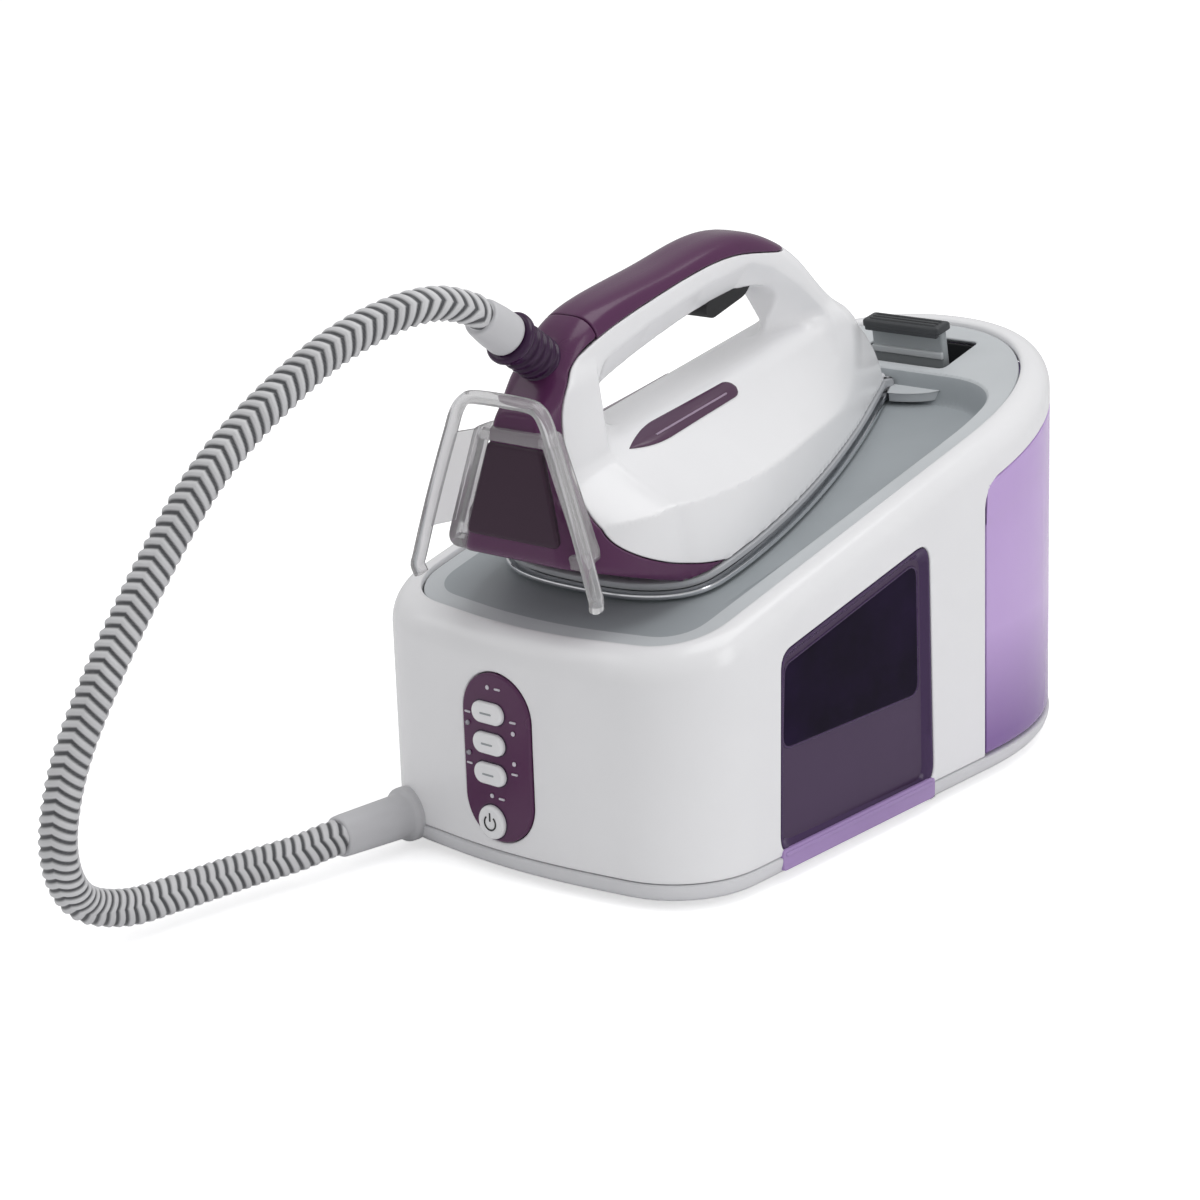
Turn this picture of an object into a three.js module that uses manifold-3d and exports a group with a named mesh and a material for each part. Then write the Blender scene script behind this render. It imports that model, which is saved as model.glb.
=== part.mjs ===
// Steam generator iron: a pressure-steam base station with a removable rear water tank, and a
// hand iron that rests on its sloping deck. Millimetres, +Z up, the control panel faces -Y.
// Pieces are drawn from the middle of the base station, on the surface it stands on; the last
// lines move the finished assembly so that its origin is the middle of everything, hose included.
import * as THREE from "three";
import { mergeVertices } from "three/addons/utils/BufferGeometryUtils.js";
import Module from "manifold-3d";

const wasm = await Module();
wasm.setup();

// ---------------------------------------------------------------- driving sizes
const GAP = 0.3; // clearance between neighbouring pieces

const BASE = {
  width: 200,
  length: 357,
  cornerRadius: 44, // front vertical corners
  rearDepth: 126, // length of the rounded rear end
  rearPower: 2.2, // superellipse power of the rear end
  frontBow: 5,
  footHeight: 3.5,
  seamHeight: 12.5, // top of the bottom plate
  frontHeight: 114.5, // rim height at the front end
  slope: Math.tan(THREE.MathUtils.degToRad(13.4)), // rise of the rim towards the rear
  wall: 2.6,
  rimWidth: 14.5, // white rim round the grey deck
  rimDrop: 14, // height of the rounded upper edge
};

const IRON = {
  length: 253, // soleplate heel to tip
  halfWidth: 61,
  tilt: THREE.MathUtils.degToRad(10.1), // soleplate against the table
  heelY: -136, // where the heel end of the soleplate sits in the base frame
  heelZ: 124.8,
  sole: 3,
  skirtTop: 9,
  saddle: 66, // height of the body under the handle
  handleWidth: 34,
};

const PANEL = { x: -8, z: 57.5, width: 44, height: 83 };
const BUTTONS = { x: -11.5, heights: [78.5, 64, 49.5], width: 19, tall: 10, powerZ: 26.5 };
const TANK = { frontY: 47.5, drop: 20, wall: 2.2, noseY: 14, noseInset: 9 };
const HOSE_RADIUS = 9.3;

const FRONT_Y = -BASE.length / 2;
const REAR_Y = BASE.length / 2;
const FAR = 400; // larger than any piece, for cutting tools

const rimZ = (y) => BASE.frontHeight + BASE.slope * (y - FRONT_Y);
const restZ = (y) => IRON.heelZ + Math.tan(IRON.tilt) * (y - IRON.heelY);

// ---------------------------------------------------------------- finishes
function finish(colour, roughness, metalness = 0, opacity = 1) {
  return { color: colour, roughness, metalness, opacity, transparent: opacity < 1 };
}
const WHITE = finish(0xf2f2f4, 0.25);
const DECK_GREY = finish(0xa4a9ac, 0.5);
const LIGHT_GREY = finish(0xc6c6c8, 0.45);
const DARK_GREY = finish(0x34363a, 0.5);
const PURPLE = finish(0x4c2c4c, 0.2);
const TINTED = finish(0x6d4590, 0.1, 0, 0.5);
const LILAC = finish(0xcda8e6, 0.1, 0, 0.45);
const CLEAR = finish(0xeef0f2, 0.08, 0, 0.3);
const RUBBER = finish(0x2a2a2c, 0.85);
const STEEL = finish(0xc9ccd0, 0.22, 1);
const ALUMINIUM = finish(0xb4b7ba, 0.4, 1);
const BRASS = finish(0xb79a55, 0.35, 1);
const BOARD_GREEN = finish(0x1f5a38, 0.6);
const SILICONE = finish(0xd9d4c8, 0.7, 0, 0.8);

// ---------------------------------------------------------------- solids from three.js geometry
function toSolid(geometry, matrix = null) {
  const bare = geometry.index ? geometry.toNonIndexed() : geometry.clone();
  bare.deleteAttribute("normal");
  bare.deleteAttribute("uv");
  if (matrix) bare.applyMatrix4(matrix);
  const merged = mergeVertices(bare, 1e-4);
  const triVerts = new Uint32Array(merged.index.array);
  const vertProperties = merged.attributes.position.array;
  const solid = new wasm.Manifold(new wasm.Mesh({ numProp: 3, vertProperties, triVerts }));
  if (solid.volume() > 0) return solid;
  for (let i = 0; i < triVerts.length; i += 3) {
    [triVerts[i + 1], triVerts[i + 2]] = [triVerts[i + 2], triVerts[i + 1]];
  }
  return new wasm.Manifold(new wasm.Mesh({ numProp: 3, vertProperties, triVerts }));
}

function toGeometry(solid) {
  const mesh = solid.getMesh();
  const geometry = new THREE.BufferGeometry();
  geometry.setAttribute("position", new THREE.BufferAttribute(mesh.vertProperties, 3));
  geometry.setIndex(new THREE.BufferAttribute(mesh.triVerts, 1));
  const flat = geometry.toNonIndexed();
  flat.computeVertexNormals();
  return flat;
}

const cut = (solid, ...tools) => tools.reduce((left, tool) => left.subtract(tool), solid);
const join = (solid, ...others) => others.reduce((sum, other) => sum.add(other), solid);

// A 2-D outline with its corners eased by a radius.
function eased(points, radius, segments = 4) {
  const outline = [];
  points.forEach((corner, i) => {
    const p = new THREE.Vector2(...corner);
    const before = new THREE.Vector2(...points[(i + points.length - 1) % points.length]);
    const after = new THREE.Vector2(...points[(i + 1) % points.length]);
    const reach = Math.min(radius, before.distanceTo(p) / 2.1, after.distanceTo(p) / 2.1);
    const a = before.clone().sub(p).setLength(reach).add(p);
    const b = after.clone().sub(p).setLength(reach).add(p);
    outline.push(...new THREE.QuadraticBezierCurve(a, p, b).getPoints(segments));
  });
  return outline;
}

const circle = (x, y, radius, steps = 20) =>
  Array.from({ length: steps }, (_, i) => {
    const angle = (i / steps) * 2 * Math.PI;
    return new THREE.Vector2(x + radius * Math.cos(angle), y + radius * Math.sin(angle));
  });

const stadium = (x, y, width, height, steps = 7) => {
  const vertical = height > width;
  const radius = Math.min(width, height) / 2;
  const shift = Math.abs(height - width) / 2;
  const start = vertical ? 0 : -Math.PI / 2;
  const ends = vertical ? [[x, y + shift], [x, y - shift]] : [[x + shift, y], [x - shift, y]];
  return ends.flatMap(([cx, cy], end) =>
    Array.from({ length: steps + 1 }, (_, i) => {
      const angle = start + end * Math.PI + (i / steps) * Math.PI;
      return new THREE.Vector2(cx + radius * Math.cos(angle), cy + radius * Math.sin(angle));
    }),
  );
};

const AXES = {
  x: new THREE.Matrix4().makeBasis(
    new THREE.Vector3(0, 1, 0), new THREE.Vector3(0, 0, 1), new THREE.Vector3(1, 0, 0)),
  y: new THREE.Matrix4().makeBasis(
    new THREE.Vector3(-1, 0, 0), new THREE.Vector3(0, 0, 1), new THREE.Vector3(0, 1, 0)),
  z: new THREE.Matrix4(),
};

// A prism along an axis; the outline is (y,z) along x, (x,z) along y and (x,y) along z.
function prism(axis, outline, from, to, bevel = 0) {
  const flip = axis === "y" ? -1 : 1;
  const points = outline.map((p) => new THREE.Vector2(flip * (p.x ?? p[0]), p.y ?? p[1]));
  const geometry = new THREE.ExtrudeGeometry(new THREE.Shape(points), {
    depth: to - from - 2 * bevel,
    bevelEnabled: bevel > 0,
    bevelThickness: bevel,
    bevelSize: bevel,
    bevelOffset: -bevel,
    bevelSegments: 2,
  });
  geometry.translate(0, 0, from + bevel);
  return toSolid(geometry, AXES[axis]);
}

const block = (x0, x1, y0, y1, z0, z1) =>
  prism("z", [[x0, y0], [x1, y0], [x1, y1], [x0, y1]], z0, z1);

// A turned piece; the profile is (radius, distance along the axis) from the point "at".
function turned(profile, at, direction = [0, 0, 1], steps = 24) {
  const points = profile.map(([r, h]) => new THREE.Vector2(r, h));
  const geometry = new THREE.LatheGeometry(points, steps);
  const along = new THREE.Vector3(...direction).normalize();
  const turn = new THREE.Quaternion().setFromUnitVectors(new THREE.Vector3(0, 1, 0), along);
  const place = new THREE.Matrix4().compose(
    new THREE.Vector3(...at), turn, new THREE.Vector3(1, 1, 1));
  return toSolid(geometry, place);
}

const rod = (radius, from, to, steps = 20) => {
  const a = new THREE.Vector3(...from);
  const span = new THREE.Vector3(...to).sub(a);
  const length = span.length();
  return turned([[0, 0], [radius, 0], [radius, length], [0, length]], from, span.toArray(), steps);
};

function tube(points, radius, steps, sides = 10, tension = 0.5) {
  const knots = points.map((p) => new THREE.Vector3(...p));
  const path = new THREE.CatmullRomCurve3(knots, false, "catmullrom", tension);
  const shape = new THREE.Shape(circle(0, 0, radius, sides));
  return toSolid(new THREE.ExtrudeGeometry(shape, { steps, extrudePath: path }));
}

// A solid skinned over rings of equal point counts, capped at both ends.
function loft(rings) {
  const count = rings[0].length;
  const vertices = rings.flat();
  const faces = [];
  for (let level = 0; level + 1 < rings.length; level++) {
    for (let i = 0; i < count; i++) {
      const a = level * count + i;
      const b = level * count + ((i + 1) % count);
      faces.push([a, b, b + count], [a, b + count, a + count]);
    }
  }
  faces.push(...capFaces(rings[0], true));
  const last = (rings.length - 1) * count;
  faces.push(...capFaces(rings.at(-1), false).map((face) => face.map((i) => i + last)));
  const positions = faces.flat().flatMap((i) => vertices[i].toArray());
  const geometry = new THREE.BufferGeometry();
  geometry.setAttribute("position", new THREE.Float32BufferAttribute(positions, 3));
  return toSolid(geometry);
}

function capFaces(ring, reversed) {
  const normal = new THREE.Vector3();
  ring.forEach((p, i) => normal.add(p.clone().cross(ring[(i + 1) % ring.length])));
  const size = normal.toArray().map(Math.abs);
  const drop = size.indexOf(Math.max(...size));
  const keep = [[1, 2], [2, 0], [0, 1]][drop];
  const flat = ring.map((p) => new THREE.Vector2(...keep.map((k) => p.toArray()[k])));
  const area = THREE.ShapeUtils.area(flat);
  return THREE.ShapeUtils.triangulateShape(flat, []).map(([a, b, c]) => {
    const sign = THREE.ShapeUtils.area([flat[a], flat[b], flat[c]]) * area;
    return sign > 0 !== reversed ? [a, b, c] : [a, c, b];
  });
}

// ---------------------------------------------------------------- assembly helpers
const assembly = new THREE.Group();
assembly.name = "steam_generator_iron";

const ironPlace = new THREE.Matrix4()
  .makeTranslation(0, IRON.heelY, IRON.heelZ)
  .multiply(new THREE.Matrix4().makeRotationX(IRON.tilt));

// Adds one node; pieces of the hand iron are drawn on its own soleplate and placed by ironPlace.
function node(name, solid, look, place = null) {
  const mesh = new THREE.Mesh(toGeometry(solid), new THREE.MeshStandardMaterial(look));
  mesh.name = name;
  if (place) mesh.applyMatrix4(place);
  assembly.add(mesh);
}
const ironNode = (name, solid, look) => node(name, solid, look, ironPlace);

// ---------------------------------------------------------------- base station outline
// The plan outline of the base station, moved inwards by the inset.
function baseOutline(inset = 0, cornerSteps = 6, rearSteps = 24) {
  const { width, cornerRadius, rearDepth, rearPower, frontBow } = BASE;
  const points = [];
  const cornerX = width / 2 - cornerRadius;
  const radius = cornerRadius - inset;
  const cornerY = FRONT_Y + cornerRadius;
  for (const x of [-0.75, -0.5, -0.25, 0, 0.25, 0.5, 0.75]) {
    points.push([x * cornerX, FRONT_Y + inset - frontBow * (1 - x * x)]);
  }
  for (let i = 0; i <= cornerSteps; i++) {
    const angle = -Math.PI / 2 + (i / cornerSteps) * (Math.PI / 2);
    points.push([cornerX + radius * Math.cos(angle), cornerY + radius * Math.sin(angle)]);
  }
  for (let i = 0; i <= rearSteps; i++) {
    const angle = (i / rearSteps) * Math.PI;
    const across = Math.sign(Math.cos(angle)) * Math.abs(Math.cos(angle)) ** (2 / rearPower);
    const along = Math.abs(Math.sin(angle)) ** (2 / rearPower);
    const x = (width / 2 - inset) * (i * 2 === rearSteps ? 0 : across);
    points.push([x, REAR_Y - rearDepth + (rearDepth - inset) * along]);
  }
  for (let i = cornerSteps; i >= 0; i--) {
    const angle = -Math.PI / 2 - (i / cornerSteps) * (Math.PI / 2);
    points.push([-cornerX + radius * Math.cos(angle), cornerY + radius * Math.sin(angle)]);
  }
  return points.map(([x, y]) => new THREE.Vector2(x, y));
}

const levelRing = (inset, z) => baseOutline(inset).map((p) => new THREE.Vector3(p.x, p.y, z));
const slopedRing = (inset, drop) =>
  baseOutline(inset).map((p) => new THREE.Vector3(p.x, p.y, rimZ(p.y) - drop));

// A slab bounded by two lines in the side view, used to cut along the slope of the rim.
const sideSlab = (points, halfWidth = FAR) => prism("x", points, -halfWidth, halfWidth);
const belowRim = (drop, y0 = -FAR, y1 = FAR, z0 = -FAR) =>
  sideSlab([[y0, z0], [y1, z0], [y1, rimZ(y1) - drop], [y0, rimZ(y0) - drop]]);
const aboveRim = (drop) =>
  sideSlab([[-FAR, rimZ(-FAR) - drop], [FAR, rimZ(FAR) - drop], [FAR, FAR], [-FAR, FAR]]);

// ---------------------------------------------------------------- base station: body
const HOSE_PORT = { at: [-72, -170, 15], direction: [-0.12, -1, 0] };
function portPoint(distance) {
  const way = new THREE.Vector3(...HOSE_PORT.direction).normalize();
  return new THREE.Vector3(...HOSE_PORT.at).addScaledVector(way, distance).toArray();
}
const portRod = (radius, from, to) => rod(radius, portPoint(from), portPoint(to), 24);

const FEET = {
  foot_front_left: [-64, -148],
  foot_front_right: [64, -148],
  foot_middle_left: [-84, 12],
  foot_middle_right: [84, 12],
  foot_rear_left: [-52, 128],
  foot_rear_right: [52, 128],
};
const RINSE_PLUG = [22, -96];

function bottomPlate() {
  const outer = loft([
    levelRing(4, BASE.footHeight),
    levelRing(1, 6),
    levelRing(-0.6, 9),
    levelRing(-0.6, BASE.seamHeight - GAP),
  ]);
  const tray = loft([levelRing(4.5, BASE.footHeight + 3), levelRing(4.5, FAR)]);
  const holes = Object.values(FEET).map(([x, y]) => rod(3.4, [x, y, -1], [x, y, 20], 16));
  const plugHole = rod(13.4, [...RINSE_PLUG, -1], [...RINSE_PLUG, 20], 24);
  return cut(outer, tray, ...holes, plugHole, portRod(11.2, -25, 60));
}

const foot = ([x, y]) =>
  turned([[0, 0], [8.5, 0], [9.5, 1], [9.5, 3.2], [3, 3.2], [3, 9], [0, 9]], [x, y, 0], [0, 0, 1], 16);

// The side opening follows the slope of the rim; points are (y, z), grown or shrunk by "grow".
function windowOutline(grow = 0, bottom = 13) {
  const corners = [[-116 - grow, bottom], [4 + grow, bottom], [1 + grow, 132 + grow * 1.2],
    [-113 - grow, 107 + grow]];
  return eased(corners, 9);
}

const CORD_EXIT_Z = 48;
const CORD_BAY = { y0: -112, y1: -6, z0: 24, z1: 96, depth: 34 };
function cordBayOutline(grow = 0) {
  const { y0, y1, z0, z1 } = CORD_BAY;
  return eased([[y0 - grow, z0 - grow], [y1 + grow, z0 - grow], [y1 + grow, z1 + grow],
    [y0 - grow, z1 + grow]], 12);
}

function mainHousing() {
  const outer = loft([
    levelRing(0, BASE.seamHeight),
    slopedRing(0, BASE.rimDrop),
    slopedRing(0.9, 9),
    slopedRing(3.2, 4.4),
    slopedRing(7, 1.4),
    slopedRing(11.5, 0),
    slopedRing(BASE.rimWidth - 1, 0),
  ]);
  const cavity = loft([levelRing(BASE.wall, -1), slopedRing(BASE.wall, 16.5),
    slopedRing(6, 6.5), slopedRing(10, 3.2)]);
  const deckHole = prism("z", baseOutline(BASE.rimWidth), 0, FAR);
  const tankBay = belowRim(TANK.drop, TANK.frontY, REAR_Y + 20, 0);
  const rightWindow = prism("x", windowOutline(), 80, 110);
  const cordBay = prism("x", cordBayOutline(), -110, -80);
  const panelHole = prism("y", stadium(PANEL.x, PANEL.z, PANEL.width - 3, PANEL.height - 3),
    FRONT_Y - 20, FRONT_Y + 20);
  return cut(outer, cavity, deckHole, tankBay, rightWindow, cordBay, panelHole,
    portRod(11.2, -25, 60));
}

// ---------------------------------------------------------------- base station: deck and lock
const POCKET = { inset: 27, depth: 1.5 };
const LOCK = { halfWidth: 25, plateU: 270, travel: 8 }; // plateU is on the soleplate line

function topDeck() {
  const plate = prism("z", baseOutline(BASE.rimWidth + GAP), 0, FAR);
  const flange = prism("z", baseOutline(BASE.rimWidth - 3.5), 0, FAR);
  const profile = sideSlab([
    [-FAR, rimZ(-FAR) - 2], [-FAR, rimZ(-FAR) - 6.5], [-120, rimZ(-120) - 6.5],
    [-100, restZ(-100) - 5], [126, restZ(126) - 5], [FAR, rimZ(FAR) - 16], [FAR, rimZ(FAR) - 2],
  ]);
  const flangeBand = sideSlab([
    [-FAR, rimZ(-FAR) - 3.5], [-FAR, rimZ(-FAR) - 6], [FAR, rimZ(FAR) - 6],
    [FAR, rimZ(FAR) - 3.5],
  ]);
  const pocket = prism("z", baseOutline(POCKET.inset), 0, FAR).intersect(sideSlab([
    [-FAR, restZ(-FAR) - POCKET.depth], [FAR, restZ(FAR) - POCKET.depth], [FAR, FAR],
    [-FAR, FAR],
  ]));
  const lockWell = block(-LOCK.halfWidth - 6, LOCK.halfWidth + 6, 117, 149, 0, FAR);
  const body = join(plate.intersect(profile), flange.intersect(flangeBand));
  return cut(body, pocket, lockWell);
}

// Three silicone pads carry the soleplate; positions are on the soleplate (across, along).
const PADS = { rest_pad_left: [-34, 30], rest_pad_right: [34, 30], rest_pad_tip: [0, 196] };
const restPad = ([x, u]) =>
  turned([[0, -POCKET.depth + 0.05], [11, -POCKET.depth + 0.05], [11, -0.7], [10, -GAP], [0, -GAP]],
    [x, u, 0], [0, 0, 1], 24);

// Open tray under the deck that guides the foot of the lock slider.
function lockGuide() {
  const { halfWidth } = LOCK;
  const box = block(-halfWidth - 5.5, halfWidth + 5.5, 117.5, 148.5, 153.5, 171.5);
  const well = block(-halfWidth - 2, halfWidth + 2, 116, 146, 155.4, FAR);
  return cut(box, well);
}

// Drawn on the soleplate line: the shelf slides over the toe of the iron to hold it down.
function lockSlider() {
  const { halfWidth, plateU } = LOCK;
  const plate = prism("x", [[plateU, -8], [plateU + 5, -8], [plateU + 5, 31], [plateU, 31]],
    -halfWidth + 1.5, halfWidth - 1.5);
  const bar = prism("x", eased([[plateU - 5, 29], [plateU + 7, 29], [plateU + 7, 34],
    [plateU - 5, 34]], 2, 3), -halfWidth - 1, halfWidth + 1);
  const foot = block(-halfWidth, halfWidth, plateU - 6, plateU + 7, -11.5, -7);
  const shelfPoints = [];
  for (let i = 0; i <= 12; i++) {
    const angle = Math.PI + (i / 12) * Math.PI;
    shelfPoints.push([18 * Math.cos(angle), plateU - 3 + 12 * Math.sin(angle)]);
  }
  shelfPoints.push([18, plateU + 2], [-18, plateU + 2]);
  const shelf = prism("z", shelfPoints, 3.8, 7.2);
  return join(plate, bar, foot, shelf);
}

// ---------------------------------------------------------------- base station: front panel
const PANEL_Y = FRONT_Y - BASE.frontBow; // foremost line of the bowed front

function controlPanel() {
  const { x, z, width, height } = PANEL;
  const face = prism("y", stadium(x, z, width, height), PANEL_Y - 1.6, PANEL_Y - GAP, 0.5);
  const plug = prism("y", stadium(x, z, width - 3.8, height - 3.8), PANEL_Y - 0.6, PANEL_Y + 6);
  const slots = BUTTONS.heights.map((height) =>
    prism("y", stadium(BUTTONS.x, height, BUTTONS.width, BUTTONS.tall), -FAR, 0));
  const power = prism("y", circle(BUTTONS.x, BUTTONS.powerZ, 8), -FAR, 0);
  const lights = LIGHTS.map(([lx, lz]) => prism("y", circle(lx, lz, 1.5, 10), -FAR, 0));
  const body = join(face, plug).subtract(
    prism("y", stadium(x, z, width - 8, height - 8), PANEL_Y + 2.4, PANEL_Y + 20));
  return cut(body, ...slots, power, ...lights);
}
const LIGHTS = [[-11.5, 90.5], [-25, 71.3], [3, 71.3], [-25, 57], [3, 57], [-11.5, 39]];

function panelButton(outline, plungerZ) {
  const cap = prism("y", outline(-GAP), PANEL_Y - 3.4, PANEL_Y + 3, 0.7);
  const plunger = rod(2.4, [BUTTONS.x, PANEL_Y + 2, plungerZ], [BUTTONS.x, PANEL_Y + 8, plungerZ], 12);
  return join(cap, plunger);
}
const modeButton = (z) =>
  panelButton((grow) => stadium(BUTTONS.x, z, BUTTONS.width + 2 * grow, BUTTONS.tall + 2 * grow), z);
const powerButton = () =>
  panelButton((grow) => circle(BUTTONS.x, BUTTONS.powerZ, 8 + grow), BUTTONS.powerZ);

function lightGuide() {
  const bar = block(-30, -26, PANEL_Y + 6.4, PANEL_Y + 8, 38, 92);
  const pins = LIGHTS.map(([x, z]) =>
    join(rod(1.2, [x, PANEL_Y - 0.9, z], [x, PANEL_Y + 7, z], 10),
      block(Math.min(x, -28), Math.max(x, -28), PANEL_Y + 6.4, PANEL_Y + 8, z - 1, z + 1)));
  return join(bar, ...pins);
}

function controlBoard() {
  const board = block(-32, 16, PANEL_Y + 12, PANEL_Y + 13.6, 20, 96);
  const switches = [...BUTTONS.heights, BUTTONS.powerZ].map((z) =>
    block(BUTTONS.x - 3, BUTTONS.x + 3, PANEL_Y + 10, PANEL_Y + 12.5, z - 3, z + 3));
  const relay = block(-6, 10, PANEL_Y + 13, PANEL_Y + 26, 60, 84);
  return join(board, ...switches, relay);
}

// ---------------------------------------------------------------- base station: side pieces
function sideWindow() {
  const plate = prism("x", windowOutline(-GAP, 13), 92.5, 99.8);
  const opening = windowOutline(-2.2, 15);
  const floor = windowOutline(-5.5, 23);
  const bevel = loft([
    floor.map((p) => new THREE.Vector3(96.5, p.x, p.y)),
    opening.map((p) => new THREE.Vector3(99.9, p.x, p.y)),
  ]);
  const dark = eased([[-107, 62], [-5, 62], [-7.5, 122], [-105, 98]], 7);
  return cut(plate, bevel, prism("x", dark, 94.5, 110));
}

function cordTray() {
  const { depth } = CORD_BAY;
  const outer = prism("x", cordBayOutline(-GAP), -99.6, -99.6 + depth);
  const inner = prism("x", cordBayOutline(-2.6), -110, -99.6 + depth - 2.4);
  const grommetHole = rod(5.3, [-78, -20, CORD_EXIT_Z], [-78, 0, CORD_EXIT_Z], 16);
  const hub = prism("x", stadium(-59, 60, 44, 16), -81, -66);
  return cut(outer, inner, grommetHole).add(hub);
}

function cordGrommet() {
  const profile = [[0, -6], [5, -6], [5, 0], [7.4, 0], [7.4, 2.4], [5, 8], [0, 8]];
  return cut(turned(profile, [-78, -8.9, CORD_EXIT_Z], [0, -1, 0], 16),
    rod(3.7, [-78, 0, CORD_EXIT_Z], [-78, -30, CORD_EXIT_Z], 16));
}

// The mains cord leaves the grommet, runs round the hub and ends in the stowed plug.
function mainsCord() {
  const points = [[-78, -1, CORD_EXIT_Z], [-78, -10, CORD_EXIT_Z], [-78, -19, CORD_EXIT_Z]];
  const turns = 2;
  const steps = 22;
  for (let i = 1; i <= steps; i++) {
    const along = i / steps;
    const angle = -0.5 - along * turns * 2 * Math.PI + 0.5 * along;
    const x = -77 - 14 * along;
    points.push([x, -59 + 42 * Math.cos(angle), 60 + 25 * Math.sin(angle)]);
  }
  points.push([-90.5, -30, 44], [-90, -58, 41], [-90, -84, 46], [-90, -92, 56], [-90, -88, 61],
    [-90, -79.4, 61]);
  return tube(points, 3.1, 84, 6);
}

// The plug is stowed on the hub, with its pins pointing back to the cord's exit.
function mainsPlug() {
  const outline = eased([[-97.5, 53.5], [-82, 53.5], [-82, 68.5], [-97.5, 68.5]], 5);
  const body = prism("y", outline, -79, -50, 1.5);
  const pins = [-94.5, -85.5].map((x) => rod(2, [x, -50.5, 61], [x, -33, 61], 12));
  return join(body, ...pins);
}

// ---------------------------------------------------------------- base station: water tank
const TANK_CAP = [0, 92];
const TANK_ROOF = 40; // drop of the tank roof under the rim
const OUTLET = { x: 0, z: 24 };

function waterTank() {
  const { wall, frontY, drop, noseY, noseInset } = TANK;
  const bottom = BASE.seamHeight + 0.6;
  const rearHalf = block(-FAR, FAR, frontY + GAP, FAR, -FAR, FAR);
  const rear = (inset, z0, top) =>
    prism("z", baseOutline(inset), z0, FAR).intersect(belowRim(top)).intersect(rearHalf);
  const nose = (inset, z0, top, y0) =>
    prism("z", baseOutline(noseInset + inset), z0, FAR).intersect(
      belowRim(top, y0, frontY + 12));
  const outer = join(rear(0, bottom, drop + GAP), nose(0, bottom, TANK_ROOF, noseY));
  const rearRoom = prism("z", baseOutline(wall), bottom + 2.4, FAR)
    .intersect(belowRim(TANK_ROOF + wall)).intersect(block(-FAR, FAR, frontY + 2.5, FAR, -FAR, FAR));
  const noseRoom = nose(wall, bottom + 2.4, TANK_ROOF + wall, noseY + wall);
  const lip = prism("z", baseOutline(wall), 0, FAR).intersect(aboveRim(TANK_ROOF))
    .intersect(block(-FAR, FAR, frontY - 30, FAR, -FAR, FAR));
  const [capX, capY] = TANK_CAP;
  const neckZ = rimZ(capY) - TANK_ROOF;
  const filler = rod(15, [capX, capY, neckZ - 20], [capX, capY, neckZ + 20]);
  const collar = cut(rod(17.5, [capX, capY, neckZ - 5], [capX, capY, neckZ + 5.4]),
    rod(15, [capX, capY, neckZ - 6], [capX, capY, neckZ + 6]));
  const outletHole = rod(4.6, [OUTLET.x, noseY - 5, OUTLET.z], [OUTLET.x, noseY + 9, OUTLET.z]);
  const spout = rod(8, [OUTLET.x, noseY - 9, OUTLET.z], [OUTLET.x, noseY + 8, OUTLET.z]);
  const bore = rod(4.6, [OUTLET.x, noseY - 10, OUTLET.z], [OUTLET.x, noseY + 10, OUTLET.z]);
  return cut(join(cut(outer, rearRoom, noseRoom, lip, filler, outletHole), collar, spout), bore);
}

function tankCap() {
  const [x, y] = TANK_CAP;
  const z = rimZ(y) - TANK_ROOF;
  const disc = turned([[0, 6.4], [14.2, 6.4], [14.2, -3], [11.5, -3], [11.5, 3], [0, 3]], [x, y, z]);
  const flange = turned([[0, 5.8], [19, 5.8], [19, 8], [18, 9], [0, 9]], [x, y, z]);
  const grip = block(x - 15, x + 15, y - 2, y + 2, z + 8.5, z + 12);
  return join(disc, flange, grip);
}

const tankValve = () =>
  turned([[0, -7.5], [2.2, -7.5], [2.2, 12], [6.8, 12.4], [6.8, 14.6], [2.2, 15], [2.2, 20], [0, 20]],
    [OUTLET.x, TANK.noseY, OUTLET.z], [0, 1, 0], 16);

// The socket in the base that the tank's spout pushes into, on its own bracket.
function tankSocket() {
  const y = TANK.noseY;
  const cup = turned([[0, 12], [11, 12], [11, -4], [8.3, -4], [8.3, 9.5], [0, 9.5]],
    [OUTLET.x, y - 4, OUTLET.z], [0, -1, 0]);
  const pipe = rod(4, [OUTLET.x, y - 15, OUTLET.z], [OUTLET.x, y - 26, OUTLET.z], 16);
  const stand = block(-14, 14, y - 16, y - 12, BASE.footHeight + 3.3, OUTLET.z);
  return join(cup, pipe, stand);
}

// ---------------------------------------------------------------- base station: inside
const BOILER = { x: 22, y: -96, z: 60, radius: 34, half: 46 };
const PUMP = { x: -40, y: -48, z: 34 };
const STEAM_VALVE = { x: -48, y: -104 };

function boiler() {
  const { x, y, z, radius, half } = BOILER;
  const shell = turned([[0, -half], [radius - 6, -half + 1], [radius, -half + 8], [radius, half - 8],
    [radius - 6, half - 1], [0, half]], [x, y, z], [0, 1, 0], 32);
  const straps = [-28, 28].map((offset) =>
    block(x - 30, x + 30, y + offset - 5, y + offset + 5, BASE.footHeight + 3.3, z - 16));
  const neck = rod(10, [x, y, z - radius + 3], [x, y, 15], 20);
  const outlet = rod(5, [x - 20, y - 20, z + 20], [x - 20, y - 20, z + 36], 16);
  return join(shell, ...straps, neck, outlet);
}

const boilerElement = () => {
  const { x, y, z, half } = BOILER;
  const end = y + half;
  const terminals = [-12, 12].map((dx) => rod(2.6, [x + dx, end + 2, z], [x + dx, end + 12, z], 12));
  const profile = [[0, GAP + 0.2], [22, GAP + 0.2], [22, 4], [0, 4]];
  return join(turned(profile, [x, end, z], [0, 1, 0], 24), ...terminals);
};

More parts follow.
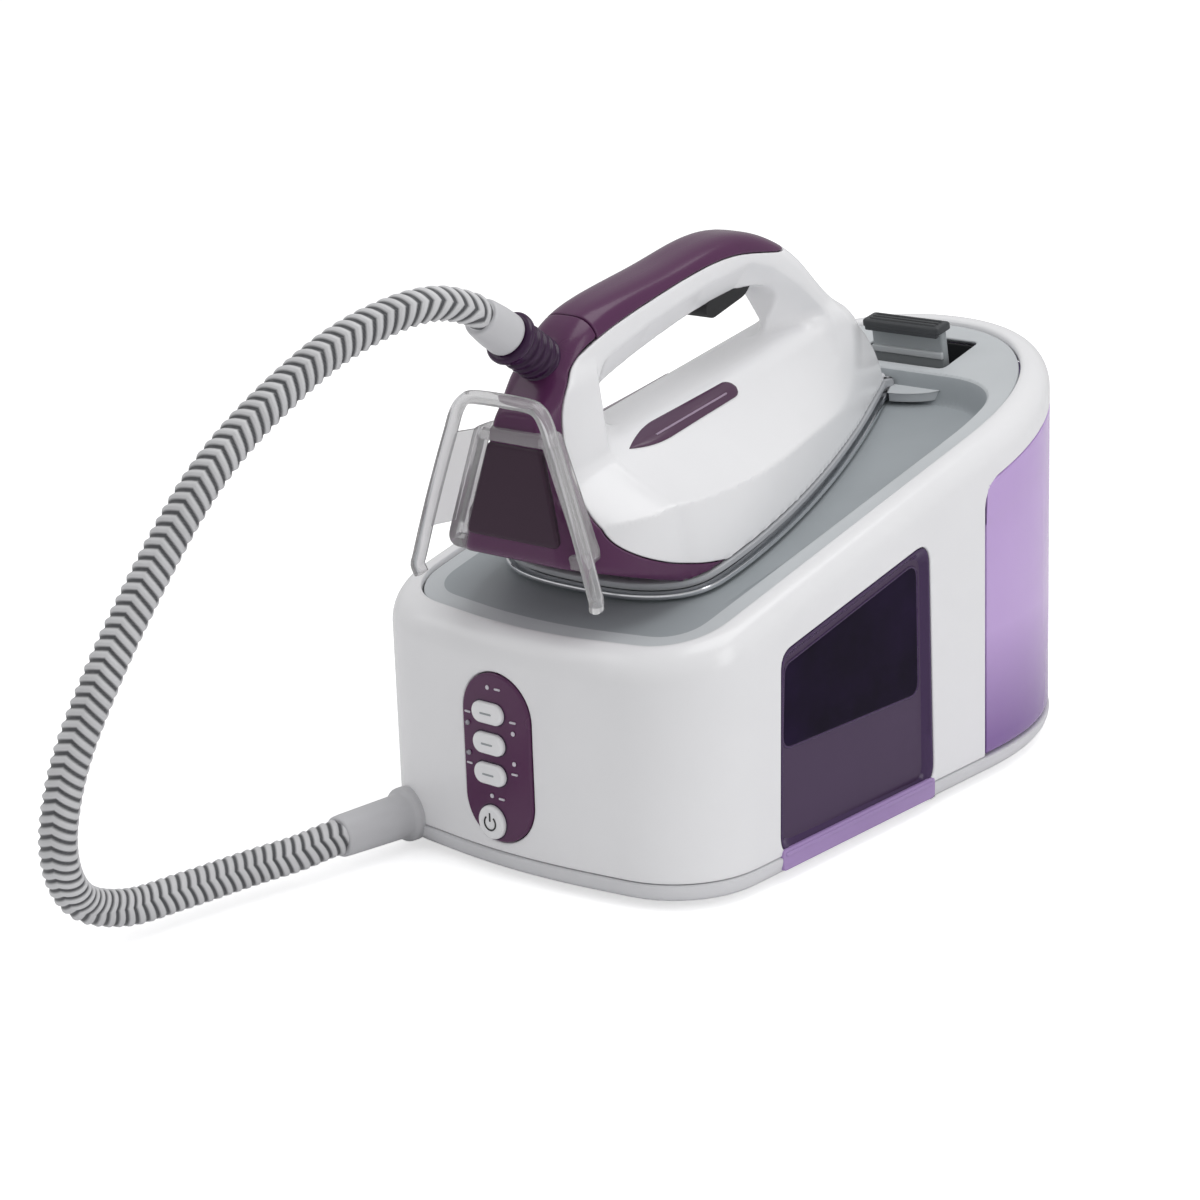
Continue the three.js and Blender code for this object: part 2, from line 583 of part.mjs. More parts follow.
const boilerThermostat = () => {
  const { x, y, z, radius } = BOILER;
  const profile = [[0, GAP], [9, GAP], [9, 3], [6, 3], [6, 9], [0, 9]];
  return turned(profile, [x, y + 6, z + radius], [0, 0, 1], 16);
};

function pump() {
  const { x, y, z } = PUMP;
  const coil = block(x - 17, x + 17, y - 18, y + 16, z - 17, z + 17);
  const snout = rod(7, [x, y + 15, z], [x, y + 34, z], 16);
  const outlet = rod(5, [x, y - 17, z], [x, y - 32, z], 16);
  const feet = block(x - 14, x + 14, y - 14, y + 12, BASE.footHeight + 3.3, z - 16);
  return join(coil, snout, outlet, feet);
}

function steamValve() {
  const { x, y } = STEAM_VALVE;
  const body = block(x - 12, x + 12, y - 12, y + 12, 42, 66);
  const coil = rod(13, [x, y, 65], [x, y, 92], 20);
  const stand = block(x - 8, x + 8, y - 8, y + 8, BASE.footHeight + 3.3, 43);
  return join(body, coil, stand);
}

const suctionTube = () => {
  const { x, y, z } = PUMP;
  const start = TANK.noseY - 26.4;
  return tube([[OUTLET.x, start, OUTLET.z], [OUTLET.x, start - 5, OUTLET.z], [-4, start - 14, 26],
    [-15, start - 16, 29], [-24, start - 2, 32], [-31, start + 14, z], [x + 1, start + 16, z],
    [x, y + 40, z], [x, y + 34.4, z]], 3.4, 30, 7);
};
const feedTube = () => {
  const { x, y, z } = PUMP;
  return tube([[x, y - 32.4, z], [x, y - 37, z], [x + 6, y - 44, z - 3], [-24, y - 42, 28],
    [-17, BOILER.y + 10, 38], [-18, BOILER.y + 6, 50], [BOILER.x - 37, BOILER.y + 6, 54]], 3.2, 24, 7);
};
const steamPipe = () => {
  const { x, y } = STEAM_VALVE;
  const [fromX, fromY, fromZ] = [BOILER.x - 20, BOILER.y - 20, BOILER.z + 36.4];
  return tube([[fromX, fromY, fromZ], [fromX, fromY, fromZ + 5], [fromX - 6, fromY - 4, 108],
    [-16, -120, 106], [-24, -112, 84], [-25, y, 64], [x + 20, y, 56], [x + 12.4, y, 56]], 3, 28, 7);
};
const hosePipe = () => {
  const { x, y } = STEAM_VALVE;
  return tube([[x, y - 12.4, 52], [x, y - 17, 52], [x - 2, y - 26, 46], [x - 14, y - 36, 24],
    portPoint(-19), portPoint(-13.4)], 3.2, 24, 7);
};

const rinsePlug = () => {
  const [x, y] = RINSE_PLUG;
  const cap = turned([[0, 1.2], [11, 1.2], [13, 2.4], [13, 8], [8, 8], [8, 14.4], [0, 14.4]], [x, y, 0]);
  return cap.subtract(block(x - 8, x + 8, y - 1.2, y + 1.2, 0, 3));
};

// ---------------------------------------------------------------- steam hose
function hoseCollar() {
  const profile = [[0, -13], [6, -13], [10.8, -10], [10.8, 7.5], [14.5, 8.5], [14.5, 11], [11.4, 13],
    [10.4, 48], [0, 48]];
  return turned(profile, HOSE_PORT.at, HOSE_PORT.direction, 28);
}

const CUFF = { at: [0, -173.8, 250.1], direction: [0, -0.82, 0.57], length: 20 };
function cuffPoint(distance) {
  const way = new THREE.Vector3(...CUFF.direction).normalize();
  return new THREE.Vector3(...CUFF.at).addScaledVector(way, distance).toArray();
}

// One hose from the base station's collar, along the table, up in a loop and down to the cuff.
function steamHose() {
  return tube([
    portPoint(48 + GAP), portPoint(56), [-81, -242, 13.8], [-86, -266, 13.4], [-91, -302, 13.2],
    [-94, -334, 15], [-93, -360, 28], [-86, -374, 56], [-78, -372, 92], [-68, -359, 130],
    [-57, -341, 168], [-47, -323, 200], [-40, -306, 221], [-32, -284, 240], [-23, -258, 257],
    [-13, -233, 267.5], [-5, -213, 270.5], cuffPoint(CUFF.length + 8), cuffPoint(CUFF.length + GAP),
  ], HOSE_RADIUS, 60, 12);
}

// ---------------------------------------------------------------- iron outline
// Half width of the soleplate at a distance u from its heel end.
function soleHalfWidth(u) {
  const widest = 37;
  if (u >= widest) return IRON.halfWidth * (1 - ((u - widest) / (IRON.length - widest)) ** 1.65);
  return IRON.halfWidth * (1 - ((widest - u) / widest) ** 2.6) ** (1 / 2.6);
}

function soleOutline(inset = 0) {
  const right = [];
  for (let i = 1; i < 16; i++) {
    const t = i / 16;
    const u = inset + (IRON.length - 2 * inset - 2) * (t * t * (3 - 2 * t));
    right.push([Math.max(soleHalfWidth(u) - inset * 0.92, 2.5), u]);
  }
  const nose = [[0, IRON.length - inset * 1.6]];
  const heel = [[-12, inset], [12, inset]];
  return [...heel, ...right, ...nose, ...right.map(([x, u]) => [-x, u]).reverse()];
}

// Side view of the handle loop: pairs of an outer and an inner point, each (along, up), from the
// foot of the rear pillar over the grip to the foot of the front pillar.
const LOOP = [
  [[-13, 38], [30, 38]], [[-14, 64], [29, 66]], [[-12, 88], [31, 84]], [[-5, 107], [35, 93]],
  [[12, 119], [44, 96]], [[46, 124], [58, 96.5]], [[80, 126], [82, 97.5]],
  [[108, 128.5], [106, 98.5]], [[132, 127.5], [128, 98.5]], [[152, 120.5], [145, 96.5]],
  [[171, 106.5], [157, 91]], [[186, 89.5], [161, 81]], [[200, 71.5], [159, 69]],
  [[210, 60], [154, 48]],
];

// Height of the shell between the skirt and the saddle or nose.
function shellTop(u) {
  const line = [[-14, 52], [-4, 62], [18, IRON.saddle], [196, IRON.saddle], [213, 57], [228, 43],
    [236, 33], [241, 24], [244, 15]];
  const i = Math.max(1, line.findIndex(([at]) => at >= u));
  const [[u0, w0], [u1, w1]] = [line[i - 1], line[i]];
  return w0 + ((w1 - w0) * (u - u0)) / (u1 - u0);
}
function shellHalfWidth(u) {
  const heelLine = u < 30 ? 38 + 21.5 * Math.sin(((u + 14) / 44) * (Math.PI / 2)) : 59.5;
  return u < 37 ? heelLine : Math.max(soleHalfWidth(u) - 1.5, 3);
}

function shellRing(u, shrink = 0, bottom = IRON.skirtTop + GAP) {
  const half = Math.max(shellHalfWidth(u) - shrink, 1.5);
  const top = shellTop(u) - shrink;
  const ring = [];
  const steps = 16;
  for (let i = 0; i <= steps; i++) {
    const angle = (i / steps) * Math.PI;
    const across = Math.sign(Math.cos(angle)) * Math.abs(Math.cos(angle)) ** 1.25;
    const up = Math.sin(angle) ** 1.15;
    ring.push(new THREE.Vector3(half * across, u, bottom + 4 + (top - bottom - 4) * Math.max(up, 0)));
  }
  ring.push(new THREE.Vector3(-half * 0.99, u, bottom), new THREE.Vector3(half * 0.99, u, bottom));
  return ring;
}

const SHELL_STATIONS = [-14, -8, 0, 10, 22, 37, 60, 85, 110, 135, 160, 182, 200, 213, 226, 236, 244];
const shellSolid = () => loft(SHELL_STATIONS.map((u) => shellRing(u)));
const shellRoom = () =>
  loft(SHELL_STATIONS.slice(2, -3).map((u) => shellRing(u, 3.4, IRON.skirtTop - 4)));

function handleLoop() {
  const steps = 16;
  const rings = LOOP.map(([outer, inner]) => {
    const ring = [];
    for (let i = 0; i < steps; i++) {
      const angle = (i / steps) * 2 * Math.PI;
      const across = Math.sign(Math.cos(angle)) * Math.abs(Math.cos(angle)) ** 0.7;
      const out = Math.sign(Math.sin(angle)) * Math.abs(Math.sin(angle)) ** 0.7;
      const mix = (1 + out) / 2;
      ring.push(new THREE.Vector3((IRON.handleWidth / 2) * across,
        inner[0] + (outer[0] - inner[0]) * mix, inner[1] + (outer[1] - inner[1]) * mix));
    }
    return ring;
  });
  return loft(rings);
}

// The purple covers are split from the white shell along these side-view outlines.
const COVER_SPLIT = [[14, 160], [10, 113], [30, 116.5], [80, 119.5], [118, 121], [140, 115.5],
  [162, 103.5], [176, 92], [200, 100], [200, 160]];
const HEEL_SPLIT = [[-60, 160], [12, 160], [7, 112], [-4, 101], [-6, 84], [-5, 60], [1, 42],
  [12, 27], [30, 17.5], [50, 11], [50, 5], [-60, 5]];

const BOOT = { at: [0, 9.6, 105], direction: [0, -0.707, 0.705], length: 34.6 };
const TRIGGER = { pivotU: 146, pivotW: 104.5 };

function bootSocket(radius) {
  const way = new THREE.Vector3(...BOOT.direction).normalize();
  const start = new THREE.Vector3(...BOOT.at);
  const end = start.clone().addScaledVector(way, 60);
  return rod(radius, start.toArray(), end.toArray(), 24);
}

const triggerWell = () =>
  prism("x", [[108, 80], [151, 80], [151, 110], [108, 110]], -7.6, 7.6);
const inletChannel = () => tube([[0, 6, 108], [0, 8, 96], [0, 10, 70], [0, 14, 40]], 4.4, 12, 10);

function ironBody() {
  return join(shellSolid(), handleLoop());
}

function ironShell() {
  const splitTop = prism("x", COVER_SPLIT.map(([u, w]) => [u, w - GAP]), -60, 60);
  const heel = prism("x", HEEL_SPLIT, -80, 80);
  return cut(ironBody(), shellRoom(), splitTop, heel, triggerWell(), bootSocket(17),
    inletChannel(), lensPocket(1), lensPocket(-1));
}

function handleCover() {
  const zone = prism("x", COVER_SPLIT, -60, 60);
  const clear = prism("x", HEEL_SPLIT.map(([u, w]) => [u + GAP, w]), -80, 80);
  return cut(ironBody().intersect(zone), clear, bootSocket(17));
}

function rearCover() {
  const zone = prism("x", HEEL_SPLIT.map(([u, w]) => [u - GAP, w]), -80, 80);
  return cut(ironBody().intersect(zone), shellRoom(), bootSocket(17), inletChannel());
}

// ---------------------------------------------------------------- iron pieces
const soleplate = () => {
  const plate = prism("z", soleOutline(), 0, IRON.sole, 0.8);
  const vents = [];
  for (const u of [60, 96, 132, 168, 204]) {
    const across = soleHalfWidth(u) * 0.62;
    for (const side of [-1, 1]) vents.push(rod(1.6, [side * across, u, -1], [side * across, u, 6], 8));
  }
  return cut(plate, ...vents);
};

const SKIRT_END = 246; // the toe of the soleplate stands clear in front of the skirt
function skirt() {
  const ring = prism("z", soleOutline(0.9), IRON.sole + GAP, IRON.skirtTop);
  const room = prism("z", soleOutline(11), 0, 20);
  return cut(ring, room, block(-60, 60, SKIRT_END, 300, 0, 20));
}

const heaterBlock = () =>
  prism("z", soleOutline(13), IRON.sole + GAP, 19).subtract(block(-60, 60, 204, 300, 0, 40));
const steamDome = () =>
  turned([[0, 19.3], [26, 19.3], [26, 25], [14, 34], [0, 36]], [0, 62, 0], [0, 0, 1], 24);
const soleThermostat = () =>
  turned([[0, 19.3], [11, 19.3], [11, 24], [6, 24], [6, 32], [0, 32]], [0, 110, 0], [0, 0, 1], 16);
const thermalFuse = () => rod(3, [-14, 140, 22.6], [14, 140, 22.6], 12);

const inletTube = () => tube([[0, 7.6, 99], [0, 9, 84], [0, 10.4, 66], [0, 20, 46], [0, 44, 40],
  [0, 62, 40], [0, 62, 36.4]], 3, 22, 7);

function microswitch() {
  return block(-6, 6, 122, 138, 105.6, 109.6);
}

function steamTrigger() {
  const { pivotU, pivotW } = TRIGGER;
  const profile = eased([[pivotU + 3, pivotW + 2], [pivotU + 3, pivotW - 5], [pivotU - 6, 93],
    [pivotU - 32, 90.5], [pivotU - 36, 94], [pivotU - 34, 99.5]], 3, 3);
  const lever = prism("x", profile, -6.8, 6.8);
  const pin = rod(1.6, [-10, pivotU, pivotW], [10, pivotU, pivotW], 12);
  return lever.add(pin);
}
const triggerPinHoles = () => rod(1.9, [-10.4, TRIGGER.pivotU, TRIGGER.pivotW],
  [10.4, TRIGGER.pivotU, TRIGGER.pivotW], 12);

function triggerSpring() {
  const points = [];
  const turns = 4;
  const perTurn = 8;
  for (let i = 0; i <= turns * perTurn; i++) {
    const angle = (i / perTurn) * 2 * Math.PI;
    const rise = i / (turns * perTurn);
    points.push([2.6 * Math.cos(angle), 115 + 2.6 * Math.sin(angle), 100.6 + 8.4 * rise]);
  }
  return tube(points, 0.45, turns * perTurn, 4);
}

// Indicator lens along each flank under the hand hole: (along, up) of its centre line ends.
const LENS = { rear: [30, 61], front: [100, 58], halfHeight: 4.2 };
function lensOutline(grow = 0) {
  const { rear, front, halfHeight } = LENS;
  const h = halfHeight + grow;
  return eased([
    [rear[0] - 9 - grow, rear[1] - 1], [rear[0] + 14, rear[1] - h],
    [front[0] - 4, front[1] - h], [front[0] + 6 + grow, front[1] - 2],
    [front[0] + 6 + grow, front[1] + 2], [front[0] - 4, front[1] + h],
    [rear[0] + 14, rear[1] + h],
  ], 3, 3);
}
function lensPocket(side) {
  return side > 0 ? prism("x", lensOutline(), 17.3, 60) : prism("x", lensOutline(), -60, -17.3);
}
function indicatorLens(side) {
  const plate = side > 0
    ? prism("x", lensOutline(-GAP), 17.6, 60)
    : prism("x", lensOutline(-GAP), -60, -17.6);
  const skin = loft(SHELL_STATIONS.map((u) => shellRing(u, -0.8)));
  return plate.intersect(skin);
}

function hoseBoot() {
  const profile = [[0, 0], [9, 0], [15.4, 3], [16, 8.5], [15.2, 12]];
  for (let rib = 0; rib < 3; rib++) {
    const h = 13.5 + rib * 6;
    const r = 14.4 - rib;
    profile.push([r - 2, h], [r - 2, h + 1.6], [r, h + 2.4], [r - 0.2, h + 5]);
  }
  profile.push([10.4, 32], [10.4, BOOT.length], [0, BOOT.length]);
  return turned(profile, BOOT.at, BOOT.direction, 18);
}

const hoseCuff = () =>
  turned([[0, 0], [10.2, 0], [11, 2], [10.8, 11], [10, CUFF.length], [0, CUFF.length]],
    CUFF.at, CUFF.direction, 24);

// Clear heel stand: a trapezoid hoop to park the iron upright on, with a shallow funnel to the heel.
const STAND = { topHalf: 18.5, footHalf: 53.5, topU: -26, topW: 106, footU: -44, footW: 17 };

function standLine(w) {
  const t = (w - STAND.footW) / (STAND.topW - STAND.footW);
  return {
    half: STAND.footHalf + (STAND.topHalf - STAND.footHalf) * t,
    u: STAND.footU + (STAND.topU - STAND.footU) * t,
  };
}

function heelStand() {
  const leg = (side, w, inset = 0) => {
    const { half, u } = standLine(w);
    return [side * (half - inset), u, w];
  };
  const path = [
    [-48, -37, 9.5], leg(-1, 12, 1), leg(-1, 22), leg(-1, 45), leg(-1, 70), leg(-1, 94),
    [-14, -26, 106], [0, -26, 107], [14, -26, 106],
    leg(1, 94), leg(1, 70), leg(1, 45), leg(1, 22), leg(1, 12, 1), [48, -37, 9.5],
  ];
  const hoop = tube(path, 3, 44, 6, 0.5);
  const frame = (inset, uShift, wTop, wBottom) => {
    const corners = [[wBottom, 1], [wTop, 1], [wTop, -1], [wBottom, -1]];
    return corners.map(([w, side]) => {
      const { half, u } = standLine(w);
      return new THREE.Vector3(side * (half - inset), u + uShift, w);
    });
  };
  const funnel = loft([frame(2, 0, 102, 20), frame(9, 27, 84, 26)]);
  const hollow = loft([frame(4, -1, 100, 22.2), frame(11.2, 29, 81.6, 28.2)]);
  const window = [[-60, 20], [60, 20], [60, 100], [-60, 100]];
  const bodyRoom = prism("y", window, -17.2, 30);
  return join(hoop, funnel).subtract(hollow).subtract(bodyRoom);
}

// ---------------------------------------------------------------- the assembly
node("bottom_plate", bottomPlate(), LIGHT_GREY);
for (const [name, place] of Object.entries(FEET)) node(name, foot(place), RUBBER);
node("main_housing", mainHousing(), WHITE);
node("top_deck", topDeck(), DECK_GREY);
for (const [name, place] of Object.entries(PADS)) ironNode(name, restPad(place), RUBBER);
node("lock_guide", lockGuide(), DECK_GREY);
ironNode("lock_slider", lockSlider(), DARK_GREY);

node("control_panel", controlPanel(), PURPLE);
node("mode_button_upper", modeButton(BUTTONS.heights[0]), WHITE);
node("mode_button_middle", modeButton(BUTTONS.heights[1]), WHITE);
node("mode_button_lower", modeButton(BUTTONS.heights[2]), WHITE);
node("power_button", powerButton(), WHITE);
node("light_guide", lightGuide(), CLEAR);
node("control_board", controlBoard(), BOARD_GREEN);

node("side_window", sideWindow(), TINTED);
node("cord_tray", cordTray(), DARK_GREY);
node("cord_grommet", cordGrommet(), RUBBER);
node("mains_cord", mainsCord(), RUBBER);
node("mains_plug", mainsPlug(), RUBBER);

node("water_tank", waterTank(), LILAC);
node("tank_cap", tankCap(), PURPLE);
node("tank_valve", tankValve(), LIGHT_GREY);
node("tank_socket", tankSocket(), DARK_GREY);

node("boiler", boiler(), STEEL);
node("boiler_element", boilerElement(), BRASS);
node("boiler_thermostat", boilerThermostat(), ALUMINIUM);
node("rinse_plug", rinsePlug(), DARK_GREY);
node("pump", pump(), LIGHT_GREY);
node("steam_valve", steamValve(), BRASS);
node("suction_tube", suctionTube(), SILICONE);
node("feed_tube", feedTube(), SILICONE);
node("steam_pipe", steamPipe(), SILICONE);
node("hose_pipe", hosePipe(), SILICONE);

node("hose_collar", hoseCollar(), LIGHT_GREY);
node("steam_hose", steamHose(), LIGHT_GREY);

ironNode("soleplate", soleplate(), STEEL);
ironNode("skirt", skirt(), LIGHT_GREY);
ironNode("heater_block", heaterBlock(), ALUMINIUM);
ironNode("steam_dome", steamDome(), ALUMINIUM);
ironNode("sole_thermostat", soleThermostat(), BRASS);
ironNode("thermal_fuse", thermalFuse(), LIGHT_GREY);
ironNode("inlet_tube", inletTube(), SILICONE);
ironNode("iron_shell", ironShell().subtract(triggerPinHoles()), WHITE);
ironNode("handle_cover", handleCover(), PURPLE);
ironNode("rear_cover", rearCover(), PURPLE);
ironNode("heel_stand", heelStand(), CLEAR);
ironNode("indicator_lens_left", indicatorLens(-1), PURPLE);
ironNode("indicator_lens_right", indicatorLens(1), PURPLE);
ironNode("steam_trigger", steamTrigger(), DARK_GREY);
ironNode("trigger_spring", triggerSpring(), STEEL);
ironNode("microswitch", microswitch(), DARK_GREY);
ironNode("hose_boot", hoseBoot(), PURPLE);
node("hose_cuff", hoseCuff(), LIGHT_GREY);

// The origin is the middle of the whole object's footprint, hose included, at the standing surface.
const middle = new THREE.Box3().setFromObject(assembly).getCenter(new THREE.Vector3());
assembly.position.set(-middle.x, -middle.y, 0);

export default assembly;
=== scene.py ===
"""Looks of the steam generator iron: base station, hand iron, hose. Drawn in millimetres from the
middle of the base station, the way the CAD model is; piece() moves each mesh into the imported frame."""
import math

import bpy
import numpy as np
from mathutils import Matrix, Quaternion, Vector


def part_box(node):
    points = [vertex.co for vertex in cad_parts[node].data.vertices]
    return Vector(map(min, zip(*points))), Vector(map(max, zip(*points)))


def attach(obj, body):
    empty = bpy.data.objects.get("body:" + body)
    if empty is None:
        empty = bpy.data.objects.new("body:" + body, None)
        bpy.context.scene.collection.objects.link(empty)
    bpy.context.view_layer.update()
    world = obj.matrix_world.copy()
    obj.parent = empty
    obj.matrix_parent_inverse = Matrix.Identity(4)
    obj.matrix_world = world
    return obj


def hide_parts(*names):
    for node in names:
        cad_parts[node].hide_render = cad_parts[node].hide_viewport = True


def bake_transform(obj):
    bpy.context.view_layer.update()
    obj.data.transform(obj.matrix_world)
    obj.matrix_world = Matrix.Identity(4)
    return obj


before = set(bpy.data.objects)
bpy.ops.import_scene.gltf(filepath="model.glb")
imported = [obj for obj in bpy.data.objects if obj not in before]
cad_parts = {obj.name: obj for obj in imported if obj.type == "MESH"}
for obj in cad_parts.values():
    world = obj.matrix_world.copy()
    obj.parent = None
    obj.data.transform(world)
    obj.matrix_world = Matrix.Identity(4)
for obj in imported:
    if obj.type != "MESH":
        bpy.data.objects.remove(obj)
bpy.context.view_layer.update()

# ------------------------------------------------------------------ driving sizes, millimetres
HALF_WIDTH = 100.0
FRONT_Y = -178.5
CORNER = 44.0          # radius of the front vertical corners
FRONT_BOW = 5.0
REAR_START, REAR_DEPTH, REAR_POWER = 52.5, 126.0, 2.2
SEAM_Z = 12.5          # joint between bottom plate and housing
RIM_FRONT, RIM_SLOPE = 114.5, math.tan(math.radians(13.4))
RIM_WIDTH, RIM_DROP = 12.0, 14.0
HOUSING_WALL = 2.6
DECK_INSET = 14.5

TILT = math.radians(10.1)
HEEL = np.array([0.0, -136.0, 124.8])
SOLE_LENGTH, SOLE_WIDEST, SOLE_HALF = 253.0, 37.0, 61.0

TANK_FRONT, TANK_DROP = 47.5, 20.0
PANEL = {"x": -8.0, "z": 57.5, "width": 41.0, "height": 80.0}
BUTTON_X, BUTTON_Z, BUTTON_SIZE = -11.5, (78.5, 64.0, 49.5), (19.0, 10.0)
POWER_Z, POWER_RADIUS = 26.5, 8.0
HOSE_RADIUS, HOSE_PITCH, HOSE_SWEEP = 8.3, 5.2, 5.4
PORT_AT, PORT_AXIS = np.array([-72.0, -170.0, 15.0]), np.array([-0.12, -1.0, 0.0])
PORT_HOLE = 11.6
CUFF_AT, CUFF_AXIS, CUFF_LENGTH = np.array([0, -173.8, 250.1]), np.array([0, -0.82, 0.57]), 20.0

# Where the camera stands, in metres from the middle of the base, and how it is turned, in degrees.
CAMERA_PLACE = np.array([0.9222, -1.1890, 0.5398])
CAMERA_AZIMUTH, CAMERA_ELEVATION, CAMERA_ROLL = 40.74, 16.67, -2.02
CAMERA_LENS, SENSOR_WIDTH = 96.8, 36.0


def rim_z(y):
    return RIM_FRONT + RIM_SLOPE * (y - FRONT_Y)


def rest_z(y):
    return HEEL[2] + math.tan(TILT) * (y - HEEL[1])


FEET = {"front": (64, -148), "middle": (84, 12), "rear": (52, 128)}


def origin_in_frame():
    """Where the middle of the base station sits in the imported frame, in metres."""
    low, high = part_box("foot_front_left")[0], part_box("foot_front_right")[1]
    foot_y = FEET["front"][1] / 1000
    return np.array([(low.x + high.x) / 2, (low.y + high.y) / 2 - foot_y, 0.0])


ORIGIN = origin_in_frame()


def iron_point(x, u, w):
    """Base coordinates of a point given across (x), along (u) and above (w) the soleplate."""
    x, u, w = np.broadcast_arrays(np.asarray(x, float), u, w)
    y = HEEL[1] + u * math.cos(TILT) - w * math.sin(TILT)
    z = HEEL[2] + u * math.sin(TILT) + w * math.cos(TILT)
    return np.stack([x, y, z], -1)


def unit(v):
    v = np.asarray(v, float)
    return v / np.maximum(np.linalg.norm(v, axis=-1, keepdims=True), 1e-12)


# ------------------------------------------------------------------ outlines
def eased(points, radius, steps=6):
    """Closed polygon with every corner rounded; radius is a number or one per corner."""
    points = np.asarray(points, float)
    radii = np.broadcast_to(radius, len(points))
    out = []
    for i, corner in enumerate(points):
        before = points[i - 1] - corner
        after = points[(i + 1) % len(points)] - corner
        half_angle = math.acos(np.clip(unit(before) @ unit(after), -1, 1)) / 2
        reach = min(radii[i] / max(math.tan(half_angle), 1e-9), 0.49 * np.linalg.norm(before),
                    0.49 * np.linalg.norm(after))
        start, end = corner + unit(before) * reach, corner + unit(after) * reach
        for t in np.linspace(0, 1, steps):
            out.append((1 - t) ** 2 * start + 2 * t * (1 - t) * corner + t * t * end)
    return np.array(out)


def resampled(points, count, closed=True):
    """The same line with count evenly spaced points."""
    points = np.asarray(points, float)
    line = np.vstack([points, points[:1]]) if closed else points
    lengths = np.concatenate([[0], np.cumsum(np.linalg.norm(np.diff(line, axis=0), axis=1))])
    at = np.linspace(0, lengths[-1], count, endpoint=not closed)
    return np.stack([np.interp(at, lengths, line[:, k]) for k in range(line.shape[1])], 1)


def outward(points):
    """Unit normals of a closed anticlockwise outline."""
    along = np.roll(points, -1, 0) - np.roll(points, 1, 0)
    return unit(np.stack([along[:, 1], -along[:, 0]], 1))


def stadium(x, z, width, height, count=96):
    """Rounded slot outline round (x, z)."""
    r = min(width, height) / 2
    flat = abs(height - width) / 2
    turn = np.linspace(0, 2 * math.pi, count, endpoint=False)
    across, up = r * np.cos(turn), r * np.sin(turn)
    if height >= width:
        up = up + flat * np.where(np.sin(turn) >= 0, 1, -1)
    else:
        across = across + flat * np.where(np.cos(turn) >= 0, 1, -1)
    return np.stack([x + across, z + up], 1)


def base_line():
    """Plan outline of the base station with its normals, anticlockwise from the front."""
    count = 560
    bow = [(x, FRONT_Y - FRONT_BOW * (1 - (x / 56) ** 2)) for x in np.linspace(-46, 46, 40)]
    turn = np.radians(np.linspace(8, 90, 24))
    right = [(56 + CORNER * math.sin(a), -134.5 - CORNER * math.cos(a)) for a in turn]
    sweep = np.linspace(0, math.pi, 160)
    power = 2 / REAR_POWER
    rear = [(HALF_WIDTH * np.sign(math.cos(a)) * abs(math.cos(a)) ** power,
             REAR_START + REAR_DEPTH * abs(math.sin(a)) ** power) for a in sweep]
    left = [(-x, y) for x, y in reversed(right)]
    line = resampled(bow + right + rear + left, count * 4)
    reach, spread = 24, 8.0
    weights = np.exp(-0.5 * (np.arange(-reach, reach + 1) / spread) ** 2)
    padded = np.vstack([line[-reach:], line, line[:reach]])
    smooth = [np.convolve(padded[:, k], weights / weights.sum(), "valid") for k in (0, 1)]
    line = resampled(np.stack(smooth, 1), count)
    return line, outward(line)


BASE_LINE, BASE_NORMALS = base_line()


def base_outline(inset=0.0):
    return BASE_LINE - inset * BASE_NORMALS


def base_ring(inset, z):
    """Ring round the base station; z is one height, or one for each point."""
    return np.c_[base_outline(inset), np.broadcast_to(z, len(BASE_LINE))]


def rim_ring(inset, drop):
    """Ring that follows the slope of the rim, drop below it."""
    flat = base_outline(inset)
    return np.c_[flat, rim_z(flat[:, 1]) - drop]


def sole_half_width(u):
    """Half width of the soleplate at a distance u from its heel."""
    u = np.asarray(u, float)
    front = np.clip((u - SOLE_WIDEST) / (SOLE_LENGTH - SOLE_WIDEST), 0, 1)
    rear = np.clip((SOLE_WIDEST - u) / SOLE_WIDEST, 0, 1)
    return SOLE_HALF * np.where(u > SOLE_WIDEST, 1 - front ** 1.65,
                                np.maximum(1 - rear ** 2.6, 0) ** (1 / 2.6))


def sole_line():
    """Outline (x, u) of the soleplate with its normals, anticlockwise seen from above."""
    t = np.linspace(0, 1, 240)
    u = SOLE_LENGTH * (1 - np.cos(math.pi * t)) / 2
    half = sole_half_width(u)
    line = np.concatenate([np.stack([half, u], 1), np.stack([-half, u], 1)[::-1]])
    line = resampled(line, 360)
    return line, outward(line)


SOLE_LINE, SOLE_NORMALS = sole_line()


# ------------------------------------------------------------------ meshes: (points, triangles)
def strip(rings):
    """Skin over rings of equally many points."""
    rings = np.asarray(rings, float)
    rows, count = rings.shape[:2]
    index = np.arange(rows * count).reshape(rows, count)
    index = np.hstack([index, index[:, :1]])
    a, b = index[:-1, :-1].ravel(), index[:-1, 1:].ravel()
    c, d = index[1:, 1:].ravel(), index[1:, :-1].ravel()
    return rings.reshape(-1, 3), np.concatenate([np.stack([a, b, c], 1), np.stack([a, c, d], 1)])


def fan(ring, facing_up=True):
    """Flat cap over a ring."""
    ring = np.asarray(ring, float)
    count = len(ring)
    points = np.vstack([ring, ring.mean(0)])
    a, b = np.arange(count), (np.arange(count) + 1) % count
    middle = np.full(count, count)
    return points, np.stack([a, b, middle] if facing_up else [b, a, middle], 1)


def join(*meshes):
    """Several meshes as one."""
    points, triangles, start = [], [], 0
    for p, t in meshes:
        points.append(p)
        triangles.append(t + start)
        start += len(p)
    return np.vstack(points), np.vstack(triangles)


def flipped(mesh):
    return mesh[0], mesh[1][:, ::-1]


